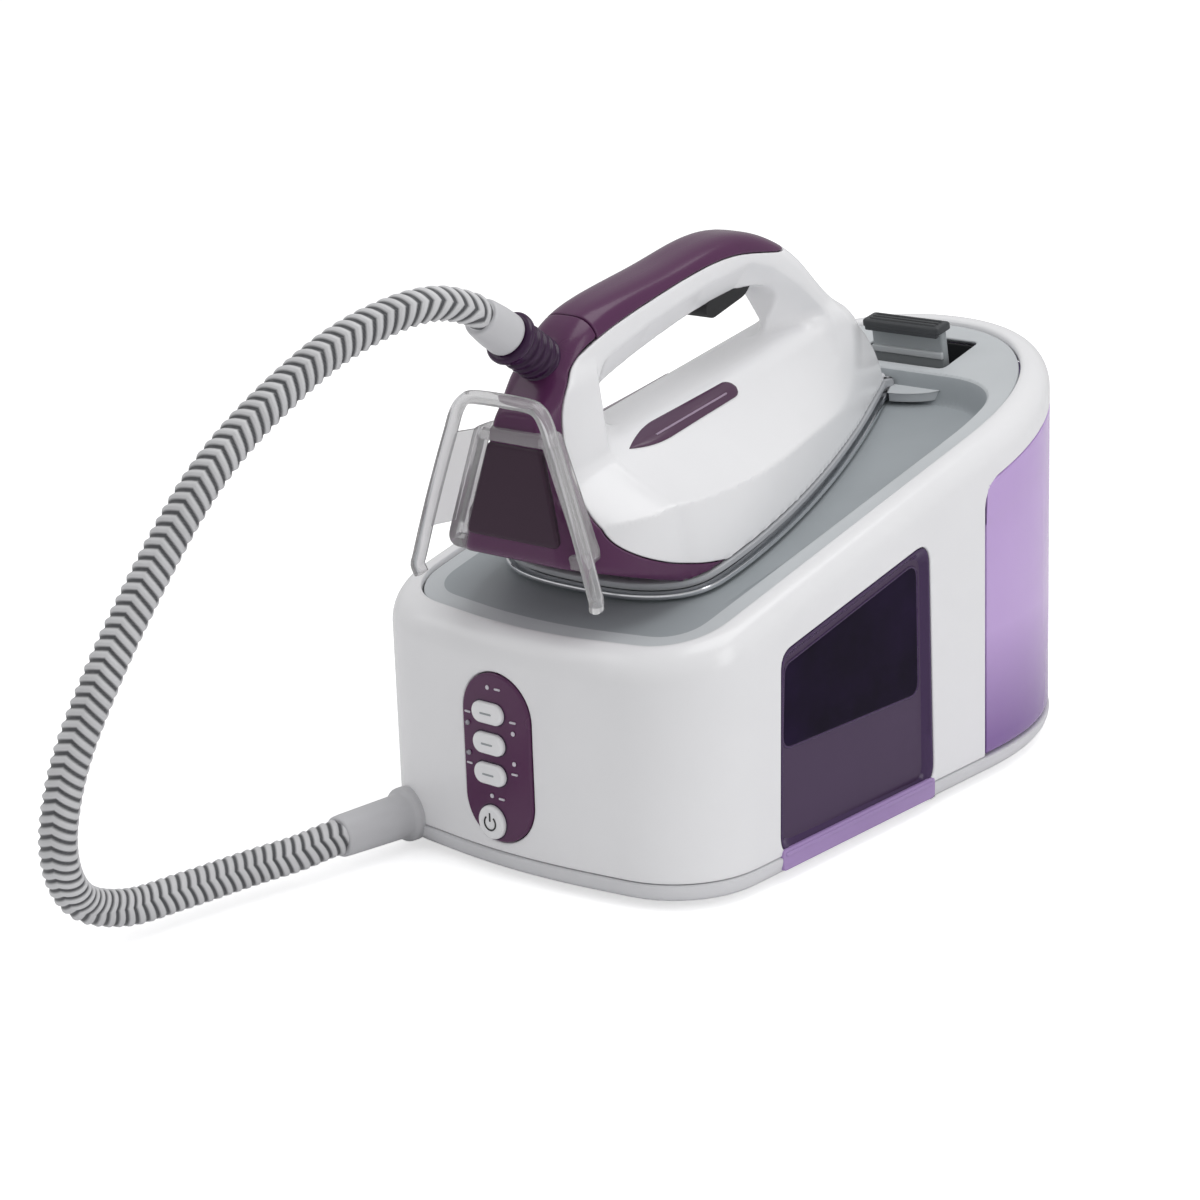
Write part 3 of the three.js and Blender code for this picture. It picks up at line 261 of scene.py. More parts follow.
def facing_out(mesh):
    """A closed mesh with its faces turned outwards."""
    a, b, c = (mesh[0][mesh[1][:, k]] for k in range(3))
    volume = np.einsum("ij,ij->i", a, np.cross(b, c)).sum()
    return mesh if volume > 0 else flipped(mesh)


def capped(rings):
    """Closed skin: rings from one end to the other, with a cap at both ends."""
    return facing_out(join(strip(rings), fan(rings[0], False), fan(rings[-1], True)))


def looped(rings):
    """Closed skin of a ring-shaped piece: the last ring joins the first."""
    rings = list(rings)
    return facing_out(welded(strip(rings + rings[:1])))


def welded(mesh, tolerance=1e-4):
    """Points that share a place become one, and triangles without area go."""
    points, triangles = mesh
    keys = np.round(points / tolerance).astype(np.int64)
    _, first, inverse = np.unique(keys, axis=0, return_index=True, return_inverse=True)
    triangles = inverse.reshape(-1)[triangles]
    a, b, c = triangles.T
    return points[first], triangles[(a != b) & (b != c) & (c != a)]


def vertex_normals(mesh):
    points, triangles = mesh
    a, b, c = (points[triangles[:, k]] for k in range(3))
    facing = np.cross(b - a, c - a)
    normals = np.zeros_like(points)
    for k in range(3):
        np.add.at(normals, triangles[:, k], facing)
    return unit(normals)


def split(mesh, field, level=0.0, drop=True):
    """Cuts the triangles along field == level; drop removes the side below it."""
    points, triangles = mesh
    value = field(points) - level
    value = np.where(np.abs(value) < 1e-5, 1e-5, value)
    inside = value > 0
    count = inside[triangles].sum(1)
    kept = triangles[count == 3] if drop else triangles[(count == 3) | (count == 0)]
    mixed = triangles[(count == 1) | (count == 2)]
    if len(mixed) == 0:
        return points, kept
    lone_inside = inside[mixed].sum(1) == 1
    lone = np.argmax(inside[mixed] == lone_inside[:, None], axis=1)
    order = (lone[:, None] + np.arange(3)) % 3
    a, b, c = np.take_along_axis(mixed, order, 1).T
    edges = np.sort(np.concatenate([np.stack([a, b], 1), np.stack([a, c], 1)]), axis=1)
    edges, where = np.unique(edges, axis=0, return_inverse=True)
    where = where.reshape(-1) + len(points)
    v0, v1 = value[edges[:, 0]], value[edges[:, 1]]
    t = (v0 / (v0 - v1))[:, None]
    new = points[edges[:, 0]] * (1 - t) + points[edges[:, 1]] * t
    ab, ac = where[:len(a)], where[len(a):]
    tip = np.stack([a, ab, ac], 1)
    rest = np.concatenate([np.stack([ab, b, c], 1), np.stack([ab, c, ac], 1)])
    lone_twice = np.concatenate([lone_inside, lone_inside])
    if drop:
        parts = [kept, tip[lone_inside], rest[~lone_twice]]
    else:
        parts = [kept, tip, rest]
    return np.vstack([points, new]), np.vstack(parts)


def compact(mesh):
    """Drops points no triangle uses."""
    points, triangles = mesh
    used, inverse = np.unique(triangles, return_inverse=True)
    return points[used], inverse.reshape(-1, 3)


def cut_and_ease(mesh, field, lip):
    """Removes the part where field < 0 and rounds the edge that is left with radius lip."""
    mesh = split(mesh, field)
    for share in (0.12, 0.35, 0.65, 1.0):
        mesh = split(mesh, field, share * lip, drop=False)
    points, triangles = compact(mesh)
    normals = vertex_normals((points, triangles))
    short = np.clip(lip - field(points), 0, lip)
    sink = lip - np.sqrt(np.maximum(lip * lip - short * short, 0))
    return points - normals * sink[:, None], triangles


def thickened(mesh, wall, normals=None):
    """Closed wall of the given thickness behind an open skin."""
    points, triangles = mesh
    normals = vertex_normals(mesh) if normals is None else normals
    count = len(points)
    edges = np.concatenate([triangles[:, [0, 1]], triangles[:, [1, 2]], triangles[:, [2, 0]]])
    key = np.sort(edges, axis=1)
    _, where, uses = np.unique(key, axis=0, return_inverse=True, return_counts=True)
    border = edges[uses[where.reshape(-1)] == 1]
    a, b = border.T
    sides = np.concatenate([np.stack([b, a, a + count], 1), np.stack([b, a + count, b + count], 1)])
    inner = triangles[:, ::-1] + count
    return np.vstack([points, points - normals * wall]), np.vstack([triangles, inner, sides])


def smooth_path(points, step):
    """Catmull-Rom curve through the points, with evenly spaced samples."""
    points = np.asarray(points, float)
    padded = np.vstack([2 * points[0] - points[1], points, 2 * points[-1] - points[-2]])
    t = np.linspace(0, 1, 24, endpoint=False)[:, None]
    curve = []
    for p0, p1, p2, p3 in zip(padded, padded[1:], padded[2:], padded[3:]):
        curve.append(0.5 * (2 * p1 + (p2 - p0) * t + (2 * p0 - 5 * p1 + 4 * p2 - p3) * t ** 2
                            + (3 * p1 - p0 - 3 * p2 + p3) * t ** 3))
    curve = np.vstack(curve + [points[-1:]])
    length = np.linalg.norm(np.diff(curve, axis=0), axis=1).sum()
    return resampled(curve, max(int(length / step), 2) + 1, closed=False)


def swept(path, side, across, up):
    """Closed bar along a path. across and up place the points of its section, one section for the
    whole path or one for each of its points; the across direction stays nearest to side."""
    side = np.asarray(side, float)
    tangent = unit(np.gradient(path, axis=0))
    first = unit(side - (tangent @ side)[:, None] * tangent)
    second = np.cross(tangent, first)
    return capped(path[:, None] + first[:, None] * across[..., None] + second[:, None] * up[..., None])


def tube(path, radius, side):
    """Thin round bar along a path."""
    turn = np.linspace(0, 2 * math.pi, 10, endpoint=False)
    return swept(path, side, radius * np.cos(turn), radius * np.sin(turn))


def turned(profile, at, axis, steps=48):
    """Lathe: profile of (radius, height) pairs round an axis, starting and ending on it."""
    axis = unit(axis)
    side = unit(np.cross(axis, [0.3, 0.2, 0.93]))
    other = np.cross(axis, side)
    turn = np.linspace(0, 2 * math.pi, steps, endpoint=False)
    spoke = side * np.cos(turn)[:, None] + other * np.sin(turn)[:, None]
    rings = [np.asarray(at) + axis * h + spoke * max(r, 1e-3) for r, h in profile]
    return facing_out(welded(strip(rings), 2e-3))


def eased_profile(profile, radius, steps=4):
    """An open lathe profile with its inner corners rounded."""
    profile = np.asarray(profile, float)
    out = [profile[0]]
    for before, corner, after in zip(profile, profile[1:], profile[2:]):
        back, ahead = before - corner, after - corner
        reach = min(radius, 0.45 * np.linalg.norm(back), 0.45 * np.linalg.norm(ahead))
        start, end = corner + unit(back) * reach, corner + unit(ahead) * reach
        for t in np.linspace(0, 1, steps):
            out.append((1 - t) ** 2 * start + 2 * t * (1 - t) * corner + t * t * end)
    return np.array(out + [profile[-1]])


def pad(outline, layers, to_space):
    """Closed block over a flat outline: layers of (inset, height), placed by to_space(a, b, h)."""
    normals = outward(outline)
    rings = []
    for inset, height in layers:
        flat = outline - inset * normals
        rings.append(to_space(flat[:, 0], flat[:, 1], np.full(len(flat), float(height))))
    return capped(np.array(rings))


def rounded_layers(bottom, top, radius):
    """(inset, height) pairs of a block with a rounded upper edge and a slightly broken lower one."""
    layers = [(0.3, bottom), (0, bottom + 0.3)]
    for a in np.linspace(0, math.pi / 2, 5):
        layers.append((radius * (1 - math.cos(a)), top - radius * (1 - math.sin(a))))
    return layers


def facing_front(a, b, h):
    """Panel coordinates: a = x, b = z, h towards the viewer (-Y), following the bowed front."""
    bow = FRONT_BOW * (1 - (a / 56) ** 2)
    return np.stack([a, FRONT_Y - bow - h, b], -1)


def facing_right(a, b, h):
    return np.stack([h, a, b], -1)


def facing_up(a, b, h):
    return np.stack([a, b, h], -1)


# ------------------------------------------------------------------ distance fields
def box_distance(a, b, half_a, half_b, radius):
    """Signed distance to a rounded rectangle round the origin, negative inside."""
    qa, qb = np.abs(a) - half_a + radius, np.abs(b) - half_b + radius
    outside = np.hypot(np.maximum(qa, 0), np.maximum(qb, 0))
    return outside + np.minimum(np.maximum(qa, qb), 0) - radius


def polygon_distance(points, outline):
    """Signed distance of 2D points to a closed outline, negative inside."""
    a, b = outline, np.roll(outline, -1, 0)
    edge = b - a
    best = np.full(len(points), np.inf)
    inside = np.zeros(len(points), bool)
    for start, along in zip(a, edge):
        offset = points - start
        t = np.clip((offset @ along) / max(along @ along, 1e-12), 0, 1)
        best = np.minimum(best, ((offset - t[:, None] * along) ** 2).sum(1))
        above = (start[1] > points[:, 1]) != (start[1] + along[1] > points[:, 1])
        crossing = start[0] + along[0] * (points[:, 1] - start[1]) / (along[1] if along[1] else 1e-12)
        inside ^= above & (points[:, 0] < crossing)
    return np.where(inside, -1, 1) * np.sqrt(best)


def smooth_min(a, b, k):
    h = np.maximum(k - np.abs(a - b), 0) / k
    return np.minimum(a, b) - h * h * k / 4


def smooth_max(a, b, k):
    return -smooth_min(-a, -b, k)


# ------------------------------------------------------------------ materials
def new_material(name):
    material = bpy.data.materials.new(name)
    material.use_nodes = True
    tree = material.node_tree
    return material, tree, tree.nodes["Principled BSDF"]


def link(tree, out, into):
    tree.links.new(out, into)


def add_node(tree, kind, **values):
    node = tree.nodes.new(kind)
    for key, value in values.items():
        if hasattr(node, key):
            setattr(node, key, value)
        else:
            node.inputs[key.replace("_", " ")].default_value = value
    return node


def noise(tree, scale, detail=3.0, roughness=0.5):
    """Noise in object space; scale is in features per metre."""
    place = add_node(tree, "ShaderNodeTexCoord")
    texture = add_node(tree, "ShaderNodeTexNoise", Scale=scale, Detail=detail, Roughness=roughness)
    link(tree, place.outputs["Object"], texture.inputs["Vector"])
    return texture.outputs["Fac"]


def ramp(tree, value, low, high, start=0.3, end=0.7):
    """Maps value from start..end to low..high (numbers)."""
    node = add_node(tree, "ShaderNodeMapRange")
    link(tree, value, node.inputs["Value"])
    for key, number in (("From Min", start), ("From Max", end), ("To Min", low), ("To Max", high)):
        node.inputs[key].default_value = number
    return node.outputs["Result"]


def mixed(tree, factor, first, second):
    """Colour mix; first and second are colours or sockets."""
    node = add_node(tree, "ShaderNodeMix", data_type="RGBA")
    sockets = [s for s in node.inputs if s.type == "RGBA"]
    for socket, colour in zip(sockets, (first, second)):
        if isinstance(colour, tuple):
            socket.default_value = (*colour, 1)
        else:
            link(tree, colour, socket)
    link(tree, factor, node.inputs["Factor"])
    return [s for s in node.outputs if s.type == "RGBA"][0]


def shade(colour, factor):
    return tuple(min(c * factor, 1.0) for c in colour)


def hex_colour(text):
    """Linear colour of an sRGB hex string."""
    out = []
    for k in (0, 2, 4):
        c = int(text[k:k + 2], 16) / 255
        out.append(c / 12.92 if c <= 0.04045 else ((c + 0.055) / 1.055) ** 2.4)
    return tuple(out)


def bumped(tree, bsdf, height, strength, distance, normal=None):
    node = add_node(tree, "ShaderNodeBump", Strength=strength, Distance=distance)
    link(tree, height, node.inputs["Height"])
    if normal is not None:
        link(tree, normal, node.inputs["Normal"])
    link(tree, node.outputs["Normal"], bsdf.inputs["Normal"])


def edge_wear(tree):
    """1 near sharp edges, 0 on open faces, and the rounded normal."""
    bevel = add_node(tree, "ShaderNodeBevel", samples=4, Radius=0.0006)
    geometry = add_node(tree, "ShaderNodeNewGeometry")
    dot = add_node(tree, "ShaderNodeVectorMath", operation="DOT_PRODUCT")
    link(tree, bevel.outputs["Normal"], dot.inputs[0])
    link(tree, geometry.outputs["Normal"], dot.inputs[1])
    return ramp(tree, dot.outputs["Value"], 1.0, 0.0, 0.75, 0.99), bevel.outputs["Normal"]


def plastic(name, colour, roughness=0.3, grain=0.02, grain_scale=900.0, coat=0.0, wear=0.35,
            spread=0.05, shine=0.5):
    """Moulded plastic: slight colour drift, fine spark-eroded grain, paler rubbed edges."""
    material, tree, bsdf = new_material(name)
    drift = ramp(tree, noise(tree, 14, 4), 0, 1)
    body = mixed(tree, drift, shade(colour, 1 - spread), shade(colour, 1 + spread))
    rounded = None
    if wear > 0:
        edges, rounded = edge_wear(tree)
        scuffs = ramp(tree, noise(tree, 420, 5, 0.7), 0, wear, 0.45, 0.75)
        rubbed = add_node(tree, "ShaderNodeMath", operation="MULTIPLY")
        link(tree, edges, rubbed.inputs[0])
        link(tree, scuffs, rubbed.inputs[1])
        pale = tuple(c + (1 - c) * 0.25 for c in colour)
        body = mixed(tree, rubbed.outputs[0], body, pale)
    link(tree, body, bsdf.inputs["Base Color"])
    link(tree, ramp(tree, noise(tree, 40, 1), roughness * 0.9, roughness * 1.1, 0.1, 0.9),
         bsdf.inputs["Roughness"])
    bumped(tree, bsdf, noise(tree, grain_scale, 2), grain, 0.0004, rounded)
    bsdf.inputs["Specular IOR Level"].default_value = shine
    bsdf.inputs["Coat Weight"].default_value = coat
    bsdf.inputs["Coat Roughness"].default_value = 0.06
    return material


def clear_plastic(name, colour, roughness, milk=0.0, milk_colour=None, foot_shade_colour=None):
    """See-through moulded plastic with faint flow ripples; milk is the cloudy share, and the foot colour
    is painted shade, a darker tone towards the floor of a tank."""
    material, tree, bsdf = new_material(name)
    bsdf.inputs["Transmission Weight"].default_value = 1.0 - milk
    bsdf.inputs["IOR"].default_value = 1.47
    drift = ramp(tree, noise(tree, 18, 3), 0, 1)
    body = mixed(tree, drift, shade(colour, 0.95), shade(colour, 1.04))
    if milk_colour is not None:
        body = mixed(tree, ramp(tree, noise(tree, 9, 2), 0.25, 0.6), body, milk_colour)
    # painted shade: the colour darkens by height towards the bottom of the tank
    if foot_shade_colour is not None:
        place = add_node(tree, "ShaderNodeTexCoord")
        axes = add_node(tree, "ShaderNodeSeparateXYZ")
        link(tree, place.outputs["Object"], axes.inputs[0])
        body = mixed(tree, ramp(tree, axes.outputs["Z"], 1, 0, 0.02, 0.075), body, foot_shade_colour)
    link(tree, body, bsdf.inputs["Base Color"])
    link(tree, ramp(tree, noise(tree, 50, 4), roughness * 0.7, roughness * 1.5),
         bsdf.inputs["Roughness"])
    bumped(tree, bsdf, noise(tree, 90, 2), 0.02, 0.001)
    return material


def metal(name, colour, roughness=0.25, scratch=0.08, stretch=(1, 30, 30)):
    """Ground metal: long fine scratches, patchy roughness."""
    material, tree, bsdf = new_material(name)
    place = add_node(tree, "ShaderNodeTexCoord")
    stretched = add_node(tree, "ShaderNodeMapping")
    stretched.inputs["Scale"].default_value = stretch
    lines = add_node(tree, "ShaderNodeTexNoise", Scale=120.0, Detail=4.0)
    link(tree, place.outputs["Object"], stretched.inputs["Vector"])
    link(tree, stretched.outputs["Vector"], lines.inputs["Vector"])
    body = mixed(tree, ramp(tree, lines.outputs["Fac"], 0, 1), shade(colour, 0.86), shade(colour, 1.08))
    link(tree, body, bsdf.inputs["Base Color"])
    bsdf.inputs["Metallic"].default_value = 1.0
    link(tree, ramp(tree, noise(tree, 70, 5), roughness * 0.7, roughness * 1.3),
         bsdf.inputs["Roughness"])
    bumped(tree, bsdf, lines.outputs["Fac"], scratch, 0.0004)
    return material


def rubbery(name, colour, roughness=0.65):
    return plastic(name, colour, roughness, grain=0.25, grain_scale=1800.0, wear=0.2, spread=0.12)


def ridged(name, ridge, groove_shade, roughness):
    """Corrugated hose: paler ridges and grooves painted dark as shade, by the relief stored on the mesh.
    """
    material, tree, bsdf = new_material(name)
    relief = add_node(tree, "ShaderNodeAttribute", attribute_name="relief")
    height = ramp(tree, relief.outputs["Fac"], 0, 1, 0.25, 0.7)
    drift = ramp(tree, noise(tree, 40, 4), 0, 1)
    top = mixed(tree, drift, shade(ridge, 0.93), shade(ridge, 1.06))
    link(tree, mixed(tree, height, groove_shade, top), bsdf.inputs["Base Color"])
    link(tree, ramp(tree, noise(tree, 160, 4), roughness * 0.8, roughness * 1.25),
         bsdf.inputs["Roughness"])
    bumped(tree, bsdf, noise(tree, 1900, 2), 0.12, 0.0004)
    return material


WHITE = plastic("white_gloss", hex_colour("F2F2F4"), 0.24, coat=0.15, grain=0.012, wear=0.0,
                spread=0.015)
PLATE = plastic("plate_white", hex_colour("DCDCDF"), 0.34, grain=0.03)
DECK = plastic("deck_grey", hex_colour("A3A9AD"), 0.42, grain=0.10, shine=0.3)
DECK_PALE = plastic("deck_pale_grey", hex_colour("C9CDD0"), 0.38, grain=0.08, shine=0.3)
TRIM = plastic("trim_grey", hex_colour("CACACD"), 0.36, grain=0.05)
SKIRT = plastic("skirt_grey", hex_colour("B4B6BA"), 0.34, grain=0.05)
DARK = plastic("dark_grey", hex_colour("232427"), 0.38, grain=0.08, shine=0.4)
BAR_GREY = plastic("lock_bar_grey", hex_colour("3E4043"), 0.38, grain=0.08, shine=0.4)
LOCK_GREY = plastic("lock_grey", hex_colour("A2A7AA"), 0.40, grain=0.08, shine=0.3)
PURPLE = plastic("plum_gloss", hex_colour("552A50"), 0.26, coat=0.12, grain=0.015, shine=0.35)
PURPLE_DARK = plastic("plum_dark", hex_colour("34183A"), 0.24, coat=0.1, grain=0.015, shine=0.3)
HEEL_DARK = plastic("plum_deep", hex_colour("371F33"), 0.3, coat=0.1, grain=0.015, shine=0.3)
LENS = plastic("lens_plum", hex_colour("553A52"), 0.16, coat=0.25, grain=0.01, shine=0.35)
# Pale colour of the line painted along each lens as its highlight.
LENS_HIGHLIGHT_PAINT = plastic("lens_painted_highlight", hex_colour("A58FA6"), 0.2, coat=0.2, grain=0.01, shine=0.4)
MARK = plastic("mark_pale", hex_colour("D8D2DC"), 0.5, grain=0.02)
WINDOW_EDGE = plastic("window_edge", hex_colour("402852"), 0.18, coat=0.1, grain=0.01, shine=0.3)
WINDOW_LEDGE = plastic("window_ledge", hex_colour("A88BC2"), 0.2, coat=0.2, grain=0.01)
WINDOW_FLAT = plastic("window_flat", hex_colour("4E3D58"), 0.22, grain=0.01, shine=0.15)
WINDOW_DEEP = plastic("window_deep", hex_colour("1E0E30"), 0.3, grain=0.006, spread=0.6, shine=0.05)
CLEAR = clear_plastic("clear_stand", (0.97, 0.96, 0.98), 0.07, milk=0.2)
# The deeper 9A74BC at the bottom of the lilac tank is painted shade.
LILAC = clear_plastic("lilac_tank", hex_colour("DFBBFC"), 0.15, milk=0.72,
                      milk_colour=hex_colour("E6C8FF"), foot_shade_colour=hex_colour("9A74BC"))
CLEAR_DIM = clear_plastic("clear_guide", (0.9, 0.92, 0.95), 0.15)
RUBBER = rubbery("black_rubber", hex_colour("242426"))
SILICONE = rubbery("pale_silicone", hex_colour("D9D4C8"), 0.5)
STEEL = metal("polished_steel", (0.80, 0.81, 0.83), 0.14, 0.03)
BOILER_STEEL = metal("boiler_steel", (0.72, 0.73, 0.75), 0.3, 0.15)
ALUMINIUM = metal("cast_aluminium", (0.66, 0.67, 0.69), 0.48, 0.3, (1, 1, 1))
BRASS = metal("brass", (0.72, 0.55, 0.26), 0.28, 0.12)
BOARD = plastic("circuit_board", hex_colour("1F5A38"), 0.45, grain=0.1, spread=0.2)
# The dark 56575A in the hose grooves is painted shade.
HOSE = ridged("hose_ribs", hex_colour("D6D6D8"), hex_colour("56575A"), 0.4)


# ------------------------------------------------------------------ pieces
def smooth_by_angle(mesh, degrees=38.0):
    mesh.shade_smooth()
    mesh.set_sharp_from_angle(angle=math.radians(degrees))


def piece(name, mesh, materials, body, replaces=(), picks=None, relief=None, ride=True):
    """Makes the Blender object; picks gives each triangle's material number."""
    points, triangles = mesh
    data = bpy.data.meshes.new(name)
    data.from_pydata(np.asarray(points / 1000.0 + ORIGIN).tolist(), [], triangles.tolist())
    materials = materials if isinstance(materials, (list, tuple)) else [materials]
    for material in materials:
        data.materials.append(material)
    if picks is not None:
        data.polygons.foreach_set("material_index", np.asarray(picks, np.int32))
    if relief is not None:
        attribute = data.attributes.new("relief", "FLOAT", "POINT")
        attribute.data.foreach_set("value", np.asarray(relief, np.float32))
    data.validate()
    smooth_by_angle(data)
    made = bpy.data.objects.new(name, data)
    bpy.context.scene.collection.objects.link(made)
    if ride:
        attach(made, body)
    if replaces:
        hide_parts(*replaces)
    return made


def several(*parts):
    """Joins (mesh, material number) pairs; returns the mesh and its material numbers."""
    mesh = join(*[m for m, _ in parts])
    picks = np.concatenate([np.full(len(m[1]), number) for m, number in parts])
    return mesh, picks


# ---- base station
WINDOW_CORNERS = [(-116, 13), (4, 13), (1, 132), (-113, 107)]
CORD_BAY = {"y": -59, "z": 60, "half_y": 53, "half_z": 36, "radius": 12}


def window_outline(grow=0.0):
    line = resampled(eased(WINDOW_CORNERS, 9, 8), 220)
    return line + grow * outward(line)


def tank_edge(points):
    """Distance from the housing to the opening the water tank fills."""
    behind = TANK_FRONT - points[:, 1]
    above = points[:, 2] - (rim_z(points[:, 1]) - TANK_DROP)
    radius = 12.0
    a, b = behind + radius, above + radius
    outside = np.hypot(np.maximum(a, 0), np.maximum(b, 0))
    return outside + np.minimum(np.maximum(a, b), 0) - radius


def port_distance(points):
    """Distance to the round hole the hose collar sits in."""
    offset = points - PORT_AT
    port = unit(PORT_AXIS)
    along = offset @ port
    return np.linalg.norm(offset - along[:, None] * port, axis=1) - PORT_HOLE


def housing_openings(points):
    """Distance to the nearest opening; each one is cut only on its own side of the housing."""
    x, y, z = points.T
    far = np.full(len(points), 50.0)
    half_width, half_height = PANEL["width"] / 2 + 0.3, PANEL["height"] / 2 + 0.3
    panel = box_distance(x - PANEL["x"], z - PANEL["z"], half_width, half_height, half_width)
    right = x > 70
    window = far.copy()
    window[right] = polygon_distance(points[right][:, 1:], window_outline(0.3))
    bay = box_distance(y - CORD_BAY["y"], z - CORD_BAY["z"], CORD_BAY["half_y"], CORD_BAY["half_z"],
                       CORD_BAY["radius"])
    return np.minimum.reduce([np.where(y < -150, panel, far), window, np.where(x < -70, bay, far),
                              np.where((y < -130) & (x < -40), port_distance(points), far),
                              tank_edge(points)])


def housing():
    """White shell with its rounded rim, open for the panel, window, cord tray, hose and tank."""
    profile = [(0.9, SEAM_Z), (0.25, SEAM_Z + 0.3), (0.0, SEAM_Z + 1.0)]
    rings = [base_ring(inset, z) for inset, z in profile]
    top = rim_z(BASE_LINE[:, 1]) - RIM_DROP
    for share in np.linspace(0.02, 1, 40):
        rings.append(base_ring(0, SEAM_Z + 1 + (top - SEAM_Z - 1) * share))
    for a in np.linspace(0, math.pi / 2, 12)[1:]:
        rings.append(rim_ring(RIM_WIDTH * (1 - math.cos(a)), RIM_DROP * (1 - math.sin(a))))
    rings += [rim_ring(13.2, 0.05), rim_ring(14.0, 0.35), rim_ring(DECK_INSET, 1.2),
              rim_ring(DECK_INSET, 3.4)]
    mesh = thickened(cut_and_ease(strip(rings), housing_openings, 0.9), HOUSING_WALL)
    piece("main_housing_skin", mesh, WHITE, "base", ["main_housing"])


def bottom_plate():
    """Shallow tray: bulging outer edge, flat rim under the seam, sunken floor."""
    edge = [(5, 3.5), (2.2, 4.2), (0.6, 6.2), (-0.3, 8.6), (-0.6, 10.5), (-0.5, 11.8), (0.4, 12.15)]
    outer = [base_ring(inset, z) for inset, z in edge]
    inner = [base_ring(inset, z) for inset, z in (edge[-1], (4.5, 12.15), (4.5, 6.5))]
    mesh = join(strip(outer), fan(outer[0], False), strip(inner), fan(inner[-1], True))
    mesh = facing_out(welded(mesh))
    piece("bottom_plate_skin", mesh, PLATE, "base", ["bottom_plate"])


def feet():
    profile = eased_profile([(0, 0), (8.6, 0), (9.5, 0.9), (9.2, 3.3), (3, 3.6), (3, 9), (0, 9)], 0.4)
    for row, (x, y) in FEET.items():
        for side, sign in (("left", -1), ("right", 1)):
            node = f"foot_{row}_{side}"
            mesh = turned(profile, (sign * x, y, 0), (0, 0, 1), 40)
            piece(node + "_skin", mesh, RUBBER, "base", [node])


REST_END = 112.0          # rear end of the sunken rest
REST_INSET, REST_STEP = 24.0, 5.0
LOCK_SLOT = {"y": 133.0, "half_x": 28.0, "half_y": 16.0}


def rest_depth_inside(flat):
    """Distance inside the edge of the sunken rest, in plan."""
    side = polygon_distance(flat, base_outline(REST_INSET)[::4])
    return -smooth_max(side, flat[:, 1] - REST_END, 26.0)


def lock_slot(points):
    return box_distance(points[:, 0], points[:, 1] - LOCK_SLOT["y"], LOCK_SLOT["half_x"],
                        LOCK_SLOT["half_y"], 3)


def deck():
    """Pale border just under the rim, stepping down to the sunken rest for the soleplate."""
    deck_drop = 2.0

    def ring(inset, drop):
        flat = base_outline(inset)
        return np.c_[flat, rim_z(flat[:, 1]) - deck_drop - drop]

    rings = [ring(15.2, 3.0), ring(15.2, 0.8), ring(15.5, 0.2), ring(16.2, 0.0)]
    start = base_outline(17.0)
    spine = np.c_[np.zeros(len(start)), np.clip(start[:, 1], -110, 60)]
    for share in np.linspace(0, 1, 44):
        flat = start + (spine - start) * share
        rings.append(np.c_[flat, rim_z(flat[:, 1]) - deck_drop])
    mesh = welded(strip(rings), 1e-2)
    for level in np.linspace(0, REST_STEP, 7):
        mesh = split(mesh, lambda p: rest_depth_inside(p[:, :2]), level, drop=False)
    points, triangles = mesh
    fall = np.clip(rest_depth_inside(points[:, :2]) / REST_STEP, 0, 1)
    depth = np.maximum(points[:, 2] - (rest_z(points[:, 1]) - 1.5), 0)
    points[:, 2] -= depth * fall * fall * (3 - 2 * fall)
    keep = lock_slot(points)[triangles].max(1) > 0
    mesh = cut_and_ease((points, triangles[keep]), lock_slot, 0.8)
    centres = mesh[0][mesh[1]].mean(1)
    front = rest_depth_inside(centres[:, :2]) > REST_STEP / 6
    mesh = thickened(mesh, 2.0)
    picks = np.zeros(len(mesh[1]), int)
    picks[:len(front)] = front
    piece("top_deck_skin", mesh, [DECK_PALE, DECK], "base", ["top_deck"], picks)


def shaded_lock_well():
    """Collar that lines the opening the lock slides in; the collar and the floor plate below it are dark
    as painted shade down the slot.
    """
    x, y = LOCK_SLOT["half_x"] + 0.6, LOCK_SLOT["half_y"] + 0.6
    corners = [(-x, -y), (x, -y), (x, y), (-x, y)]
    outline = eased([(a, b + LOCK_SLOT["y"]) for a, b in corners], 3.5, 8)
    normals = outward(outline)

    def ring(inset, drop=None, z=None):
        flat = outline - inset * normals
        return np.c_[flat, np.full(len(flat), z) if z else rim_z(flat[:, 1]) - drop]

    rings = [ring(0, z=153.0), ring(0, 4.6), ring(0.2, 4.4), ring(1.0, 4.4), ring(1.2, 4.6),
             ring(1.2, z=153.0)]
    # dark floor plate at the bottom of the slot: painted shade
    floor = pad(outline, [(0.3, 150.5), (0.3, 152.8)], facing_up)
    piece("shaded_lock_well", join(looped(rings), floor), DARK, "base")


def panel():
    outline = stadium(PANEL["x"], PANEL["z"], PANEL["width"], PANEL["height"], 160)
    layers = [(0.2, -3.0), (0.0, -2.0)] + rounded_layers(-0.6, 1.0, 0.9)[1:]
    plate = pad(outline, layers, facing_front)
    width, height = BUTTON_SIZE[0] + 1.2, BUTTON_SIZE[1] + 1.2
    holes = [stadium(BUTTON_X, z, width, height, 64) for z in BUTTON_Z]
    width = 2 * POWER_RADIUS + 1.4
    holes.append(stadium(BUTTON_X, POWER_Z, width, width, 64))
    parts = [(plate, 0)]
    for hole in holes:
        parts.append((pad(hole, [(0, 0.6), (0, 0.98), (0.3, 1.06)], facing_front), 1))
    mesh, picks = several(*parts)
    piece("control_panel_skin", mesh, [PURPLE, PURPLE_DARK], "base",
          ["control_panel"], picks)


